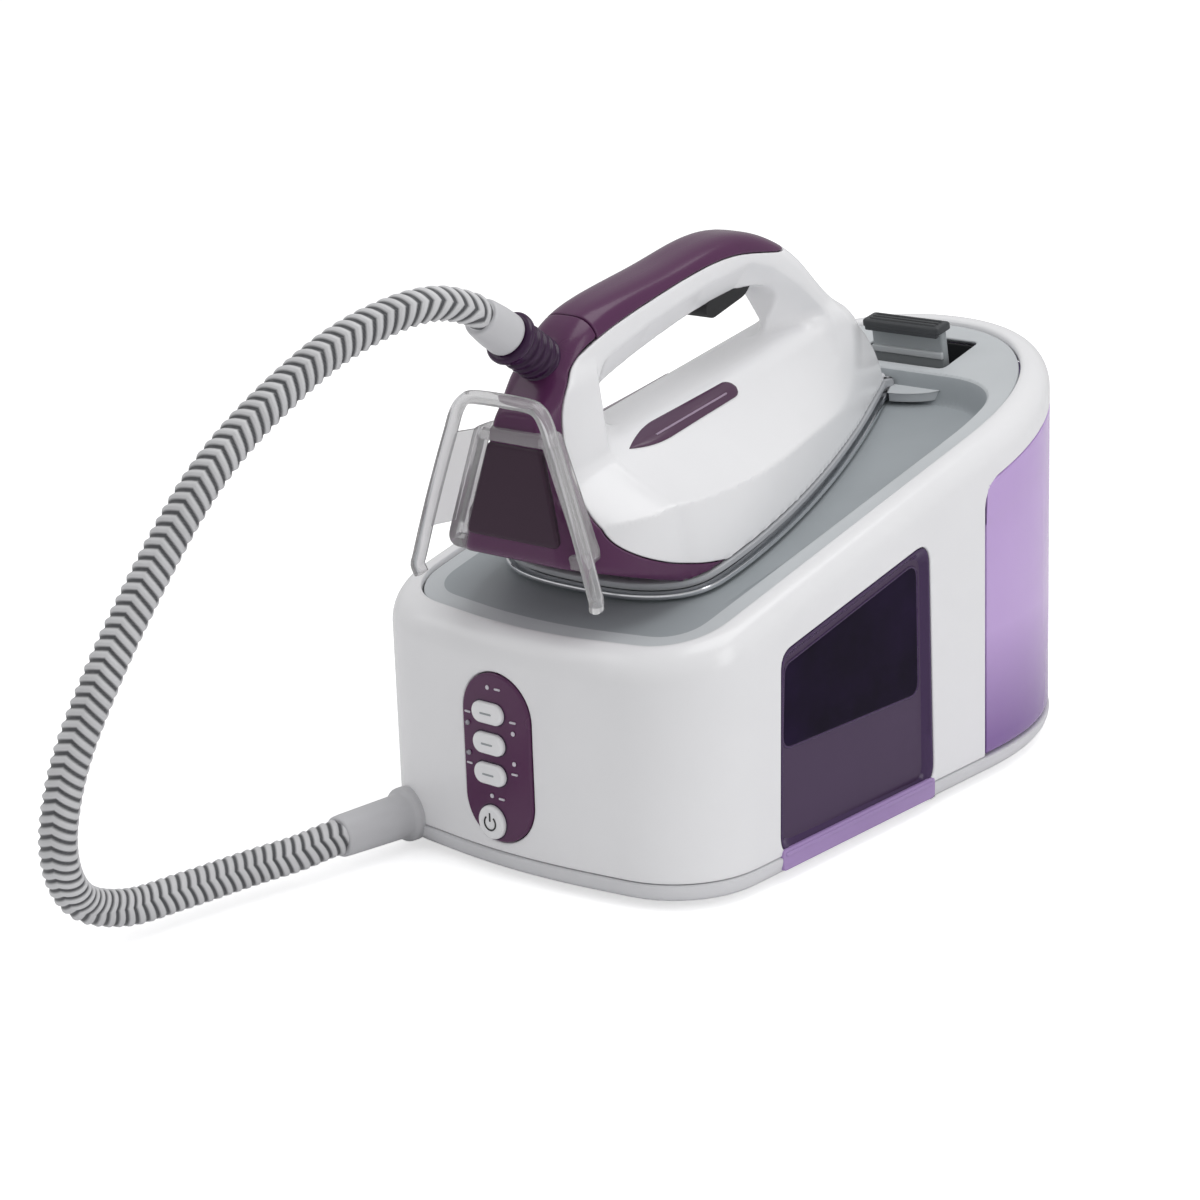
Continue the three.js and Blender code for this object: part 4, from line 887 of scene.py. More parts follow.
def buttons():
    names = ("upper", "middle", "lower")
    for name, z in zip(names, BUTTON_Z):
        outline = stadium(BUTTON_X, z, *BUTTON_SIZE, 80)
        mesh = pad(outline, rounded_layers(-2.5, 3.3, 1.5), facing_front)
        mark = pad(stadium(BUTTON_X, z, 7.0, 0.9, 32), [(0, 3.2), (0, 3.36)], facing_front)
        mesh, picks = several((mesh, 0), (mark, 1))
        piece(f"mode_button_{name}_skin", mesh, [WHITE, LOCK_GREY], f"button_{name}",
              [f"mode_button_{name}"], picks)
    outline = stadium(BUTTON_X, POWER_Z, 2 * POWER_RADIUS, 2 * POWER_RADIUS, 80)
    cap = pad(outline, rounded_layers(-2.5, 3.3, 1.5), facing_front)
    ring = []
    for turn in np.radians(np.linspace(130, 410, 60)):
        ring.append((BUTTON_X + 3.4 * math.cos(turn), POWER_Z + 3.4 * math.sin(turn)))
    path = facing_front(*np.array(ring).T, np.full(len(ring), 3.3))
    mark = tube(path, 0.42, (0, -1, 0))
    rise = np.linspace(POWER_Z + 0.8, POWER_Z + 4.8, 6)
    stem = facing_front(np.full(6, BUTTON_X), rise, np.full(6, 3.3))
    mesh, picks = several((cap, 0), (mark, 1), (tube(stem, 0.42, (0, -1, 0)), 1))
    piece("power_button_skin", mesh, [WHITE, DARK], "button_power",
          ["power_button"], picks)


def panel_marks():
    """Small lamps and plain pictograms beside the buttons."""
    spots = [(-11.5, 90.5), (-25, 71.3), (3, 71.3), (-25, 57), (3, 57), (-11.5, 39)]
    parts = [pad(stadium(x, z, 2.2, 2.2, 24), rounded_layers(0.7, 1.45, 0.4), facing_front)
             for x, z in spots]
    for x, z in ((-25, 76.5), (3, 76.5), (-25, 52), (3, 52), (-5.5, 90.5), (-5.5, 38.5)):
        parts.append(pad(stadium(x, z, 3.6, 1.0, 20), [(0, 0.8), (0, 1.25)], facing_front))
    piece("panel_marks", join(*parts), MARK, "base")


def window():
    """Tinted tank window: narrow frame, deep glossy recess above a flat field, pale ledge below."""
    outer = window_outline(0.0)
    inner_corners = [(-112.0, 18), (-2.2, 15.4), (-3.6, 126.5), (-109, 102.6)]
    inner = resampled(eased(inner_corners, 7, 8), len(outer))
    start = np.argmin(((inner - outer[0]) ** 2).sum(1))
    inner = np.roll(inner, -start, 0)
    rings = []
    for share, x in ((0, 97.0), (0, 99.2), (0.06, 99.7), (0.3, 99.75), (0.9, 97.2), (1.0, 96.9)):
        flat = outer + (inner - outer) * share
        rings.append(facing_right(flat[:, 0], flat[:, 1], np.full(len(flat), x)))
    bevel = strip(rings)
    floor = fan(rings[-1], True)
    deep = eased([(-109.8, 61.5), (-5.4, 59), (-6.2, 122.5), (-107.4, 99.5)], 6, 10)
    lip = pad(deep, [(-1.2, 96.8), (-1.0, 97.25), (-0.3, 97.35), (0.0, 97.1)], facing_right)
    glass = pad(deep, [(0, 96.9), (0.05, 97.1), (1.2, 97.2)], facing_right)
    foot = eased([(-115.9, 5.4), (3.4, 5.4), (3.4, 15.6), (-115.9, 15.6)], 2.2, 6)
    ledge = pad(resampled(foot, 160), rounded_layers(99.0, 101.0, 0.7), facing_right)
    rail = eased([(-114.2, 12.2), (1.8, 12.2), (1.8, 14.2), (-114.2, 14.2)], 0.9, 5)
    rail = pad(resampled(rail, 120), rounded_layers(100.8, 101.4, 0.3), facing_right)
    back = pad(outer, [(0.4, 92.5), (0.2, 96.5)], facing_right)
    mesh, picks = several((bevel, 0), (floor, 2), (lip, 0), (glass, 3), (ledge, 1), (rail, 1),
                          (back, 0))
    piece("side_window_skin", mesh, [WINDOW_EDGE, WINDOW_LEDGE, WINDOW_FLAT, WINDOW_DEEP], "base",
          ["side_window"], picks)


def tank_outline():
    """Plan outline of the water tank: the rounded rear end and a narrower nose in front."""
    rear = BASE_LINE[BASE_LINE[:, 1] > TANK_FRONT + 0.6]
    turn = np.arctan2(rear[:, 1] - TANK_FRONT, rear[:, 0])
    rear = rear[np.argsort(turn)]
    step, nose_half, nose_front = TANK_FRONT + 0.4, 91, 14
    nose = [(-HALF_WIDTH, step), (-nose_half, step), (-nose_half, nose_front),
            (nose_half, nose_front), (nose_half, step), (HALF_WIDTH, step)]
    return resampled(np.vstack([rear, eased(nose, 2.0, 4)]), 480)


TANK_CAP = np.array([0.0, 92.0])           # middle of the filler
TANK_ROOF = 40.0                           # depth of the sunken roof below the rim of the base
TANK_WALL, TANK_FLOOR = 2.3, 15.5
TANK_SPOUT = {"y": 14.0, "z": 24.0, "radius": 8.0, "bore": 4.6, "length": 9.0}


def tank_spout():
    """Short pipe on the front of the tank that plugs into the base."""
    turn = np.linspace(0, 2 * math.pi, 40, endpoint=False)
    bore, radius, face = TANK_SPOUT["bore"], TANK_SPOUT["radius"], TANK_SPOUT["y"] - 0.4
    tip = face - TANK_SPOUT["length"]
    profile = ((bore, face), (bore, tip), (radius - 0.6, tip), (radius, tip + 0.6), (radius, face))
    rings = [np.c_[r * np.cos(turn), np.full(len(turn), y), TANK_SPOUT["z"] + r * np.sin(turn)]
             for r, y in profile]
    return facing_out(looped(rings))


def water_tank():
    """Tank with a raised rim round a sunken roof; the outer and inner walls meet in the filler."""
    line = tank_outline()
    normals = outward(line)
    towards = unit(line - TANK_CAP)
    wall, floor_z = TANK_WALL, TANK_FLOOR

    def ring(inset, below_rim=None, z=None):
        flat = line - inset * normals
        if z is not None:
            return np.c_[flat, np.full(len(flat), z)]
        drop = np.where(line[:, 1] < TANK_FRONT + 1.5, np.maximum(below_rim, TANK_ROOF), below_rim)
        return np.c_[flat, rim_z(flat[:, 1]) - drop]

    def neck(radius, rise):
        """Circle round the filler; rise is above the sloping roof, level past 3 mm."""
        flat = TANK_CAP + radius * towards
        sloping = rim_z(flat[:, 1]) - TANK_ROOF + rise
        level = np.full(len(flat), rim_z(TANK_CAP[1]) - TANK_ROOF + rise)
        return np.c_[flat, level if abs(rise) > 3 else sloping]

    def between(first, last, count):
        return [first + (last - first) * share for share in np.linspace(0, 1, count + 2)[1:-1]]

    top = TANK_DROP + 0.4
    outer = [ring(3, z=13.1), ring(1, z=13.5), ring(0.2, z=14.4), ring(0, z=16)]
    outer += between(outer[-1], ring(0, top + 2), 24)
    rim = [ring(0, top + 2), ring(0, top + 0.6), ring(0.35, top + 0.15), ring(0.9, top), ring(1.6, top),
           ring(2.1, top + 0.15), ring(wall, top + 0.6), ring(wall, TANK_ROOF - 1.5),
           ring(2.8, TANK_ROOF - 0.4), ring(4, TANK_ROOF)]
    roof = between(rim[-1], neck(18.6, 0), 6) + [neck(18.6, 0), neck(17.7, 0.4)]
    collar = [neck(17.5, 4.9), neck(17.1, 5.4), neck(15.4, 5.4), neck(15, 5.0), neck(15, -4.6),
              neck(15.4, -5), neck(17.5, -5)]
    under = ring(4.4, TANK_ROOF + wall)
    inside = between(collar[-1], under, 6) + [under, ring(wall, TANK_ROOF + wall + 1.5)]
    inside += between(inside[-1], ring(wall, z=floor_z + 1.5), 24)
    inside += [ring(wall, z=floor_z + 1.5), ring(wall + 1.2, z=floor_z)]
    body = facing_out(welded(capped(outer + rim + roof + collar + inside), 1e-3))
    mesh = join(body, tank_spout())
    piece("water_tank_skin", mesh, LILAC, "tank", ["water_tank"])


def lock():
    """Sliding catch over the toe of the soleplate: dark hook bar on a grey plate, with a pale strip
    across the plate as a painted highlight.
    """
    def block(u0, u1, w0, w1, half, radius, ease=0.8):
        outline = eased([(-half, u0), (half, u0), (half, u1), (-half, u1)], radius, 5)
        return pad(outline, rounded_layers(w0, w1, ease), iron_point)

    bar = block(265, 277, 27.4, 31.2, 23.5, 2.4, 1.4)
    ribs = [block(u, u + 1.4, 30.8, 31.9, 20, 0.6, 0.4) for u in (267.5, 270.4, 273.3)]
    lip = block(265, 268, 25.6, 28.4, 22, 1.0, 0.6)
    plate = block(270, 275, -8, 28, 21.5, 1.2)
    # The pale strip across the front of the plate is a painted highlight.
    highlight_band = block(268.4, 270.4, 13.0, 16.5, 21.5, 0.6, 0.5)
    foot = block(266.5, 277, -11.5, -7, 25, 1.5)
    mesh, picks = several((bar, 0), *[(r, 0) for r in ribs], (lip, 0), (plate, 1), (highlight_band, 2),
                          (foot, 1))
    piece("lock_slider_skin", mesh, [BAR_GREY, LOCK_GREY, DECK_PALE], "lock",
          ["lock_slider"], picks)


def toe_ledge():
    """Rounded ledge on the rest that cradles the toe of the soleplate."""
    turn = np.linspace(0, math.pi / 2, 14)
    side = np.stack([32 * np.cos(turn), 254 - 15 * np.sin(turn)], 1)
    side = side[side[:, 0] > sole_half_width(side[:, 1]) + 1.4]
    toe_u = np.linspace(side[-1, 1], SOLE_LENGTH, 12)
    toe = np.stack([sole_half_width(toe_u) + 1.4, toe_u], 1)
    right = np.vstack([[(32, 256.5)], side, toe])
    left = right[::-1] * (-1, 1)
    outline = np.vstack([right, [(0, SOLE_LENGTH + 1.6)], left])
    mesh = pad(resampled(outline, 200), rounded_layers(0.5, 5.0, 0.8), iron_point)
    piece("toe_ledge", mesh, DECK_PALE, "base")


def rest_pads():
    for node, (x, u) in {"rest_pad_left": (-34, 30), "rest_pad_right": (34, 30),
                         "rest_pad_tip": (0, 196)}.items():
        outline = stadium(x, u, 21.6, 21.6, 48)
        layers = [(0.2, -5.0), (0, -4.5), (0, -1.2), (0.3, -0.6), (1.0, -0.35)]
        mesh = pad(outline, layers, iron_point)
        piece(node + "_skin", mesh, RUBBER, "base", [node])


# ---- hose
def hose_path():
    """Out of the collar along the floor, round in front of the base and up into the cuff."""
    port = unit(PORT_AXIS)
    cuff = unit(CUFF_AXIS)
    low = [PORT_AT + port * 44, PORT_AT + port * 56]
    loop = [(-81, -242, 13.8), (-86, -266, 13.4), (-91, -302, 13.2), (-94, -334, 15),
            (-93, -360, 28), (-86, -374, 56), (-78, -372, 92), (-68, -359, 130), (-57, -341, 168),
            (-47, -323, 200), (-40, -306, 221), (-32, -284, 240), (-23, -258, 257),
            (-13, -233, 267.5), (-5, -213, 270.5)]
    high = [CUFF_AT + cuff * (CUFF_LENGTH + 8), CUFF_AT + cuff * (CUFF_LENGTH - 1)]
    return smooth_path(low + loop + high, 0.9)


def hose():
    """Corrugated hose whose ribs run in chevrons, as the wound cover of such hoses does."""
    path = hose_path()
    chevron_side = (0.50, -0.80, 0.33)
    turn = np.linspace(-math.pi, math.pi, 56, endpoint=False)
    along = np.concatenate([[0], np.cumsum(np.linalg.norm(np.diff(path, axis=0), axis=1))])
    fold = HOSE_SWEEP * (1 - np.abs(np.abs(turn) / (math.pi / 2) - 1))
    phase = (along[:, None] + fold[None, :]) / HOSE_PITCH
    wave = 0.5 + 0.5 * np.cos(2 * math.pi * phase)
    relief = wave ** 0.7
    radius = HOSE_RADIUS - 1.2 + 1.4 * relief
    end = np.minimum(along, along[-1] - along)
    radius = np.where(end[:, None] < 4, HOSE_RADIUS - 0.6, radius)
    taper = np.interp(along, [along[-1] - 60, along[-1] - 10], [1.0, 0.88])
    radius = radius * taper[:, None]
    mesh = swept(path, chevron_side, radius * np.cos(turn), radius * np.sin(turn))
    tone = np.concatenate([relief.ravel(), np.zeros(len(mesh[0]) - relief.size)])
    made = piece("steam_hose_skin", mesh, HOSE, "base", ["steam_hose"],
                 relief=tone, ride=False)
    end = np.array([0.0, -195, 262]) / 1000 + ORIGIN
    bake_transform(made)


def hose_ends():
    """Tapered collar on the base and the cuff on the iron; each stays with its own body."""
    collar = eased_profile([(0, 4.5), (13.0, 4.5), (13.0, 9.5), (10.8, 11), (10.5, 14), (10.2, 30),
                            (9.9, 44), (9.7, 47.5), (8.9, 48.4), (0, 48.4)], 1.0)
    mesh = turned(collar, PORT_AT, PORT_AXIS, 64)
    piece("hose_collar_skin", mesh, TRIM, "base", ["hose_collar"])
    cuff = eased_profile([(0, 0), (9.6, 0), (10.0, 1.6), (9.8, 10), (9.0, 18), (8.6, 19.5),
                          (8.0, 20), (0, 20)], 0.8)
    mesh = turned(cuff, CUFF_AT, CUFF_AXIS, 64)
    piece("hose_cuff_skin", mesh, TRIM, "iron", ["hose_cuff"])


# ---- hand iron
def on_sole(inset, w):
    flat = SOLE_LINE - inset * SOLE_NORMALS
    return iron_point(flat[:, 0], flat[:, 1], np.full(len(flat), float(w)))


def soleplate():
    rings = [on_sole(i, w) for i, w in ((2.0, 0.0), (0.8, 0.12), (0.2, 0.6), (0, 1.2), (0, 2.2),
                                        (0.25, 2.8), (1.0, 3.0))]
    mesh = capped(rings)
    piece("soleplate_skin", mesh, STEEL, "iron", ["soleplate"])


def skirt():
    rings = [on_sole(i, w) for i, w in ((4.5, 3.3), (4.5, 5.2), (1.8, 5.4), (0.9, 5.9), (0.8, 6.8),
                                        (0.9, 8.0), (1.6, 8.5), (3.6, 8.6))]
    inner = [on_sole(i, w) for i, w in ((6.0, 8.6), (6.0, 3.3))]
    piece("skirt_skin", looped(rings + inner), SKIRT, "iron", ["skirt"])


# Stations round the handle loop: outer and inner point (u, w) in the middle plane.
LOOP = [((-13, 38), (34, 38)), ((-14, 64), (33, 66)), ((-12, 88), (35, 84)), ((-5, 107), (39, 92.5)),
        ((12, 119), (46, 96)), ((46, 124), (58, 96.5)), ((80, 126), (82, 97.5)),
        ((108, 128.5), (106, 98.5)), ((132, 127.5), (128, 98.5)), ((152, 120.5), (145, 96.5)),
        ((171, 106.5), (157, 91)), ((186, 89.5), (161, 81)), ((200, 71.5), (159, 69)),
        ((210, 60), (154, 48))]
TOP_LINE = [(-14, 52), (-4, 62), (18, 66), (196, 66), (213, 57), (228, 43), (236, 33), (241, 24),
            (244, 15)]
CREASE = [(-14, 66), (3, 51), (8, 46.5), (26, 43), (76, 35.2), (133, 30.5), (180, 24), (210, 18),
          (246, 11)]
HANDLE_HALF = 17.0
# Ridge round the hand opening: inside it the flanks of the handle slope in towards the opening.
DISH = [(16, 40), (17, 96), (26, 106), (60, 110.5), (100, 113), (136, 112), (152, 104), (170, 88),
        (190, 66), (190, 40)]


def bspline(points, count):
    """Smooth open curve near the points, through the first and last."""
    points = np.asarray(points, float)
    padded = np.vstack([points[0] * 2 - points[1], points, points[-1] * 2 - points[-2]])
    t = np.linspace(0, 1, 16, endpoint=False)[:, None]
    out = []
    for p0, p1, p2, p3 in zip(padded, padded[1:], padded[2:], padded[3:]):
        out.append(((1 - t) ** 3 * p0 + (3 * t ** 3 - 6 * t ** 2 + 4) * p1
                    + (-3 * t ** 3 + 3 * t ** 2 + 3 * t + 1) * p2 + t ** 3 * p3) / 6)
    return resampled(np.vstack(out), count, closed=False)


DISH_LINE = eased(DISH, 10, 6)
LOOP_OUTER = bspline([a for a, _ in LOOP], 160)
LOOP_INNER = bspline([b for _, b in LOOP], 160)
LOOP_MIDDLE = (LOOP_OUTER + LOOP_INNER) / 2
LOOP_THICK = np.linalg.norm(LOOP_OUTER - LOOP_INNER, axis=1) / 2


def loop_field(x, u, w):
    """Distance-like field of the handle loop, negative inside."""
    best = np.full(u.shape, np.inf)
    thick = np.ones(u.shape)
    for k in range(len(LOOP_MIDDLE) - 1):
        a, b = LOOP_MIDDLE[k], LOOP_MIDDLE[k + 1]
        along = b - a
        t = np.clip(((u - a[0]) * along[0] + (w - a[1]) * along[1]) / (along @ along), 0, 1)
        gap = np.hypot(u - a[0] - t * along[0], w - a[1] - t * along[1])
        near = gap < best
        best = np.where(near, gap, best)
        thick = np.where(near, LOOP_THICK[k] * (1 - t) + LOOP_THICK[k + 1] * t, thick)
    power = 3.1
    ratio = ((np.abs(x) / HANDLE_HALF) ** power + (best / thick) ** power) ** (1 / power)
    field = (ratio - 1) * np.minimum(HANDLE_HALF, thick)
    inside = np.maximum(-polygon_distance(np.stack([u, w], -1), DISH_LINE), -2)
    return smooth_max(field, (np.abs(x) - (HANDLE_HALF + 0.2 - 0.8 * inside)) * 0.75, 0.8)


def shell_half_width(u):
    rear = 38 + 21.5 * np.sin(np.clip((u + 14) / 44, 0, 1) * math.pi / 2)
    return np.where(u < 37, rear, sole_half_width(np.clip(u, 37, SOLE_LENGTH)) - 1.5)


def body_width(u, w):
    """Half width of the body under the handle: upright wall, crease, hollow shoulder."""
    half = shell_half_width(u)
    crease = np.interp(u, *np.array(CREASE).T)
    wall = half - 0.06 * (w - 9)
    ridge = half - 0.06 * (crease - 9)
    rise = (w - crease) / np.maximum(66 - crease, 6)
    inner = np.minimum(ridge, 18.0)
    hollow = ridge + (inner - ridge) * (1 - (1 - np.clip(rise, 0, 1)) ** 1.3)
    shoulder = np.where(rise < 0, ridge + (ridge - inner) * 1.3 * -rise, hollow)
    return smooth_min(wall, shoulder, 0.8)


def body_field(x, u, w):
    """Distance-like field of the body under the handle, negative inside."""
    top = np.interp(u, *np.array(TOP_LINE).T)
    field = smooth_max((np.abs(x) - body_width(u, w)) * 0.82, w - top, 7.0)
    return np.maximum(field, 14.5 - u)


def heel_face_u(w):
    """Where the sloping flat rear face of the heel is at height w."""
    return -22 - (82 - w) * 0.264


def tail_field(x, u, w):
    """The purple stern: tapers back to a sloping flat face, its underside rising to the rear."""
    face = heel_face_u(w)
    half = 15.5 + (82 - w) * 0.262
    join_u = 15.0
    front = np.maximum(body_width(np.full(u.shape, join_u), np.minimum(w, 66)), 16.5)
    share = np.clip((u - face) / (join_u - face), 0, 1)
    width = half + (front - half) * np.sin(share * math.pi / 2)
    field = smooth_max((np.abs(x) - width) * 0.9, face - u, 3.0)
    underside = 9.3 + 0.47 * np.maximum(12 - u, 0)
    field = smooth_max(field, (underside - w) * 0.9, 3.0)
    field = smooth_max(field, w - 103 + 0.5 * np.maximum(-u, 0), 5.0)
    return np.maximum(field, u - 15.5)


def iron_field(p):
    x, u, w = p.T
    field = smooth_min(body_field(x, u, w), tail_field(x, u, w), 1.0)
    field = smooth_min(field, loop_field(x, u, w), 8.0)
    return np.maximum(field, 9.3 - w)


def surface_nets(field, low, high, step):
    """Skin of field == 0 on a grid, its points moved onto the surface."""
    axes = [np.arange(a, b + step, step) for a, b in zip(low, high)]
    shape = [len(a) for a in axes]
    grid = np.stack(np.meshgrid(*axes, indexing="ij"), -1).reshape(-1, 3)
    value = np.concatenate([field(part) for part in np.array_split(grid, 12)]).reshape(shape)
    inside = value < 0
    corners = [(i, j, k) for i in (0, 1) for j in (0, 1) for k in (0, 1)]
    cells = [s - 1 for s in shape]

    def corner(array, c):
        return array[c[0]:c[0] + cells[0], c[1]:c[1] + cells[1], c[2]:c[2] + cells[2]]

    count = sum(corner(inside, c).astype(int) for c in corners)
    active = (count > 0) & (count < 8)
    number = -np.ones(cells, int)
    number[active] = np.arange(active.sum())
    total = np.zeros(cells + [3])
    hits = np.zeros(cells)
    for first in corners:
        for axis in range(3):
            if first[axis]:
                continue
            second = tuple(c + (1 if k == axis else 0) for k, c in enumerate(first))
            a, b = corner(value, first), corner(value, second)
            cross = (a < 0) != (b < 0)
            t = np.where(cross, a / np.where(cross, a - b, 1), 0)
            place = np.zeros(cells + [3])
            place += np.array(first, float)
            place[..., axis] += t
            total += np.where(cross[..., None], place, 0)
            hits += cross
    base = np.stack(np.meshgrid(*[np.arange(c) for c in cells], indexing="ij"), -1)[active]
    points = np.array(low) + (base + total[active] / hits[active][:, None]) * step
    triangles = []
    for axis in range(3):
        o1, o2 = (axis + 1) % 3, (axis + 2) % 3
        start = [slice(None)] * 3
        end = [slice(None)] * 3
        start[axis], end[axis] = slice(0, -1), slice(1, None)
        a, b = value[tuple(start)] < 0, value[tuple(end)] < 0
        change = np.argwhere(a != b)
        change = change[(change[:, o1] > 0) & (change[:, o2] > 0)
                        & (change[:, o1] < cells[o1]) & (change[:, o2] < cells[o2])]
        leaving = a[tuple(change.T)]

        def cell(d1, d2):
            at = change.copy()
            at[:, o1] -= d1
            at[:, o2] -= d2
            return number[tuple(at.T)]

        quad = np.stack([cell(1, 1), cell(0, 1), cell(0, 0), cell(1, 0)], 1)
        quad = np.where(leaving[:, None], quad, quad[:, ::-1])
        triangles += [quad[:, [0, 1, 2]], quad[:, [0, 2, 3]]]
    for _ in range(3):
        slope = gradient(field, points)
        move = field(points)[:, None] * slope / np.maximum((slope ** 2).sum(1), 1e-6)[:, None]
        points = points - np.clip(move, -step, step)
    return points, np.vstack(triangles)


def gradient(field, points):
    """Slope of a field by central differences."""
    reach = 0.05
    slope = np.zeros_like(points)
    for k in range(3):
        shift = np.zeros(3)
        shift[k] = reach
        slope[:, k] = (field(points + shift) - field(points - shift)) / (2 * reach)
    return slope


# Seam between the purple handle cover and the white shell, and the edge of the purple heel.
COVER_CURVE = [(5, 110), (24, 116.3), (50, 118.8), (80, 120.3), (104, 121), (124, 119.5), (140, 115.0),
               (152, 111), (162, 108), (171, 109), (180, 118), (190, 160)]
HEEL_CURVE = [(24.3, 116.2), (16, 114.6), (7, 110), (-2, 102), (-7.5, 92), (-10, 79), (-11, 66),
              (-14, 57), (-18, 47), (-16, 37), (-5, 27), (11, 18.5), (26, 13), (38, 9.8), (44, 6)]
COVER_OUTLINE = np.vstack([bspline(COVER_CURVE, 120), [(5, 160)]])
HEEL_OUTLINE = np.vstack([bspline(HEEL_CURVE, 120), [(-60, 5), (-60, 160), (24.3, 160)]])


def side_field(outline):
    """Field over (u, w), positive outside the outline."""
    return lambda p: polygon_distance(p[:, 1:], outline)


def to_base(mesh):
    return iron_point(*mesh[0].T), mesh[1]


def iron_skins():
    skin = surface_nets(iron_field, (-66, -44, 4), (66, 252, 136), 1.5)
    points, triangles = skin
    keep = (points[triangles][:, :, 2] > 9.32).all(1) | (points[triangles][:, :, 2].max(1) > 9.6)
    skin = compact((points, triangles[keep]))
    cover = side_field(COVER_OUTLINE)
    heel = side_field(HEEL_OUTLINE)
    seam, lip = 0.22, 0.7

    def white(p):
        return np.minimum(cover(p), heel(p)) - seam

    def purple_top(p):
        return np.minimum(-cover(p), heel(p)) - seam

    def purple_heel(p):
        return -heel(p) - seam

    for name, field, material, slot, node in (
            ("iron_shell_skin", white, WHITE, "white_plastic", "iron_shell"),
            ("handle_cover_skin", purple_top, PURPLE, "purple_plastic", "handle_cover"),
            ("rear_cover_skin", purple_heel, PURPLE, "purple_plastic", "rear_cover")):
        mesh = cut_and_ease(skin, field, lip)
        normals = unit(gradient(iron_field, mesh[0]))
        mesh = thickened(mesh, 1.8, normals)
        piece(name, to_base(mesh), material, "iron", [node])


LENS_REAR, LENS_FRONT, LENS_HALF = 28.0, 108.0, 3.2


def lens_middle(u):
    return 62.2 - 0.014 * (u - LENS_REAR)


def lens_outline():
    """Pointed at the rear, round in front."""
    u = np.linspace(LENS_REAR, LENS_FRONT, 120)
    taper = np.clip((u - LENS_REAR) / 26, 0, 1)
    nose = np.clip((u - LENS_FRONT + 5) / 5, 0, 1)
    half = LENS_HALF * (1 - (1 - taper) ** 2) * np.sqrt(np.maximum(1 - nose ** 2, 0))
    upper = np.stack([u, lens_middle(u) + half], 1)
    lower = np.stack([u, lens_middle(u) - half], 1)[::-1]
    return resampled(np.vstack([upper, lower[1:-1]]), 160)


def lens_skins():
    outline = lens_outline()
    for side, sign in (("right", 1), ("left", -1)):
        node = f"indicator_lens_{side}"
        lens = lens_mesh(outline, sign)
        # glint: a thin pale tube along the middle of the lens, a painted highlight
        u = np.linspace(LENS_REAR + 18, LENS_FRONT - 9, 40)
        w = lens_middle(u)
        path = iron_point(sign * (flank_x(u, w) + 1.3), u, w)
        glint = tube(path, 0.5, (0, 0, 1))
        mesh, picks = several((lens, 0), (glint, 1))
        piece(node + "_skin", mesh, [LENS, LENS_HIGHLIGHT_PAINT], "iron", [node], picks)


def lens_mesh(outline, sign):
    """Lens set on the flank of the body: rings projected onto the skin, slightly crowned."""
    along = np.clip(outline[:, 0], LENS_REAR + 12, LENS_FRONT - 5)
    spine = np.stack([along, lens_middle(along)], 1)
    rings = []
    for share, rise in ((1.0, -1.0), (1.0, 0.2), (0.95, 0.55), (0.86, 0.8), (0.6, 1.1), (0.3, 1.2),
                        (0.02, 1.25)):
        flat = spine + (outline - spine) * share
        x = flank_x(flat[:, 0], flat[:, 1]) + rise
        rings.append(np.stack([sign * x, flat[:, 0], flat[:, 1]], 1))
    return facing_out(to_base(capped(rings)))


def flank_x(u, w):
    """Half width of the skin at (u, w), found from outside inwards."""
    x = np.full(len(u), 62.0)
    for _ in range(60):
        value = iron_field(np.stack([x, u, w], 1))
        x = x - np.clip(value, -2, 4) * 0.8
    return x


def boot():
    """Ribbed strain relief on the hose, clipped into the rear of the handle."""
    axis = iron_axis((0, -0.707, 0.705))
    at = iron_point(0, 9.6, 105)
    profile = [(0, 0), (9.5, 0), (10.4, 3), (10.6, 10)]
    for rib in range(4):
        height, radius = 11.0 + rib * 4.8, 10.9
        profile += [(radius - 1.5, height), (radius - 1.5, height + 1.6), (radius, height + 2.2),
                    (radius - 0.2, height + 4.2)]
    profile += [(10.2, 30.4), (12.2, 31.0), (12.4, 33.4), (11.2, 34.6), (0, 34.6)]
    mesh = turned(eased_profile(profile, 0.5, 3), at, axis, 56)
    piece("hose_boot_skin", mesh, PURPLE_DARK, "iron", ["hose_boot"])


def iron_axis(direction):
    return unit(iron_point(*direction) - iron_point(0, 0, 0))


STAND_TOP, STAND_FOOT = 103.0, 17.0
CUP_TOP, CUP_FOOT = (21.7, 88.0), (43.6, 30.5)      # half width and height of the clear cup's ends


def stand_line(w):
    """Half width and u of the clear hoop at height w."""
    share = (np.asarray(w, float) - STAND_FOOT) / (STAND_TOP - STAND_FOOT)
    bow = 1.2 * np.sin(math.pi * np.clip(share, 0, 1))
    return 55.0 - 31.5 * share + bow, -44 + 17.8 * share


def cup_u(w):
    """Where the sloping rim of the cup is at height w."""
    return -22.7 - (CUP_TOP[1] - w) * 0.162


def hoop():
    """Bent bar: a short foot, a leg, the top bar and the same down the other side."""
    def leg(w):
        half, u = stand_line(w)
        return -half, u, w

    left = [(-51.8, -42.2, 19.5)] + [leg(w) for w in (24, 28, 36, 46, 60, 75, 88, 96)]
    left += [(-22.5, -26.4, 101), (-17, -26.2, 103.4)]
    right = [(-x, u, w) for x, u, w in reversed(left)]
    path = smooth_path(left + [(0, -26.2, 104)] + right, 1.5)
    turn = np.linspace(0, 2 * math.pi, 24, endpoint=False)
    across, up = (half * np.sign(wave) * np.abs(wave) ** 0.7
                  for half, wave in ((3.4, np.cos(turn)), (2.7, np.sin(turn))))
    return swept(path, (0.0, 1.0, 0.1), across, up)


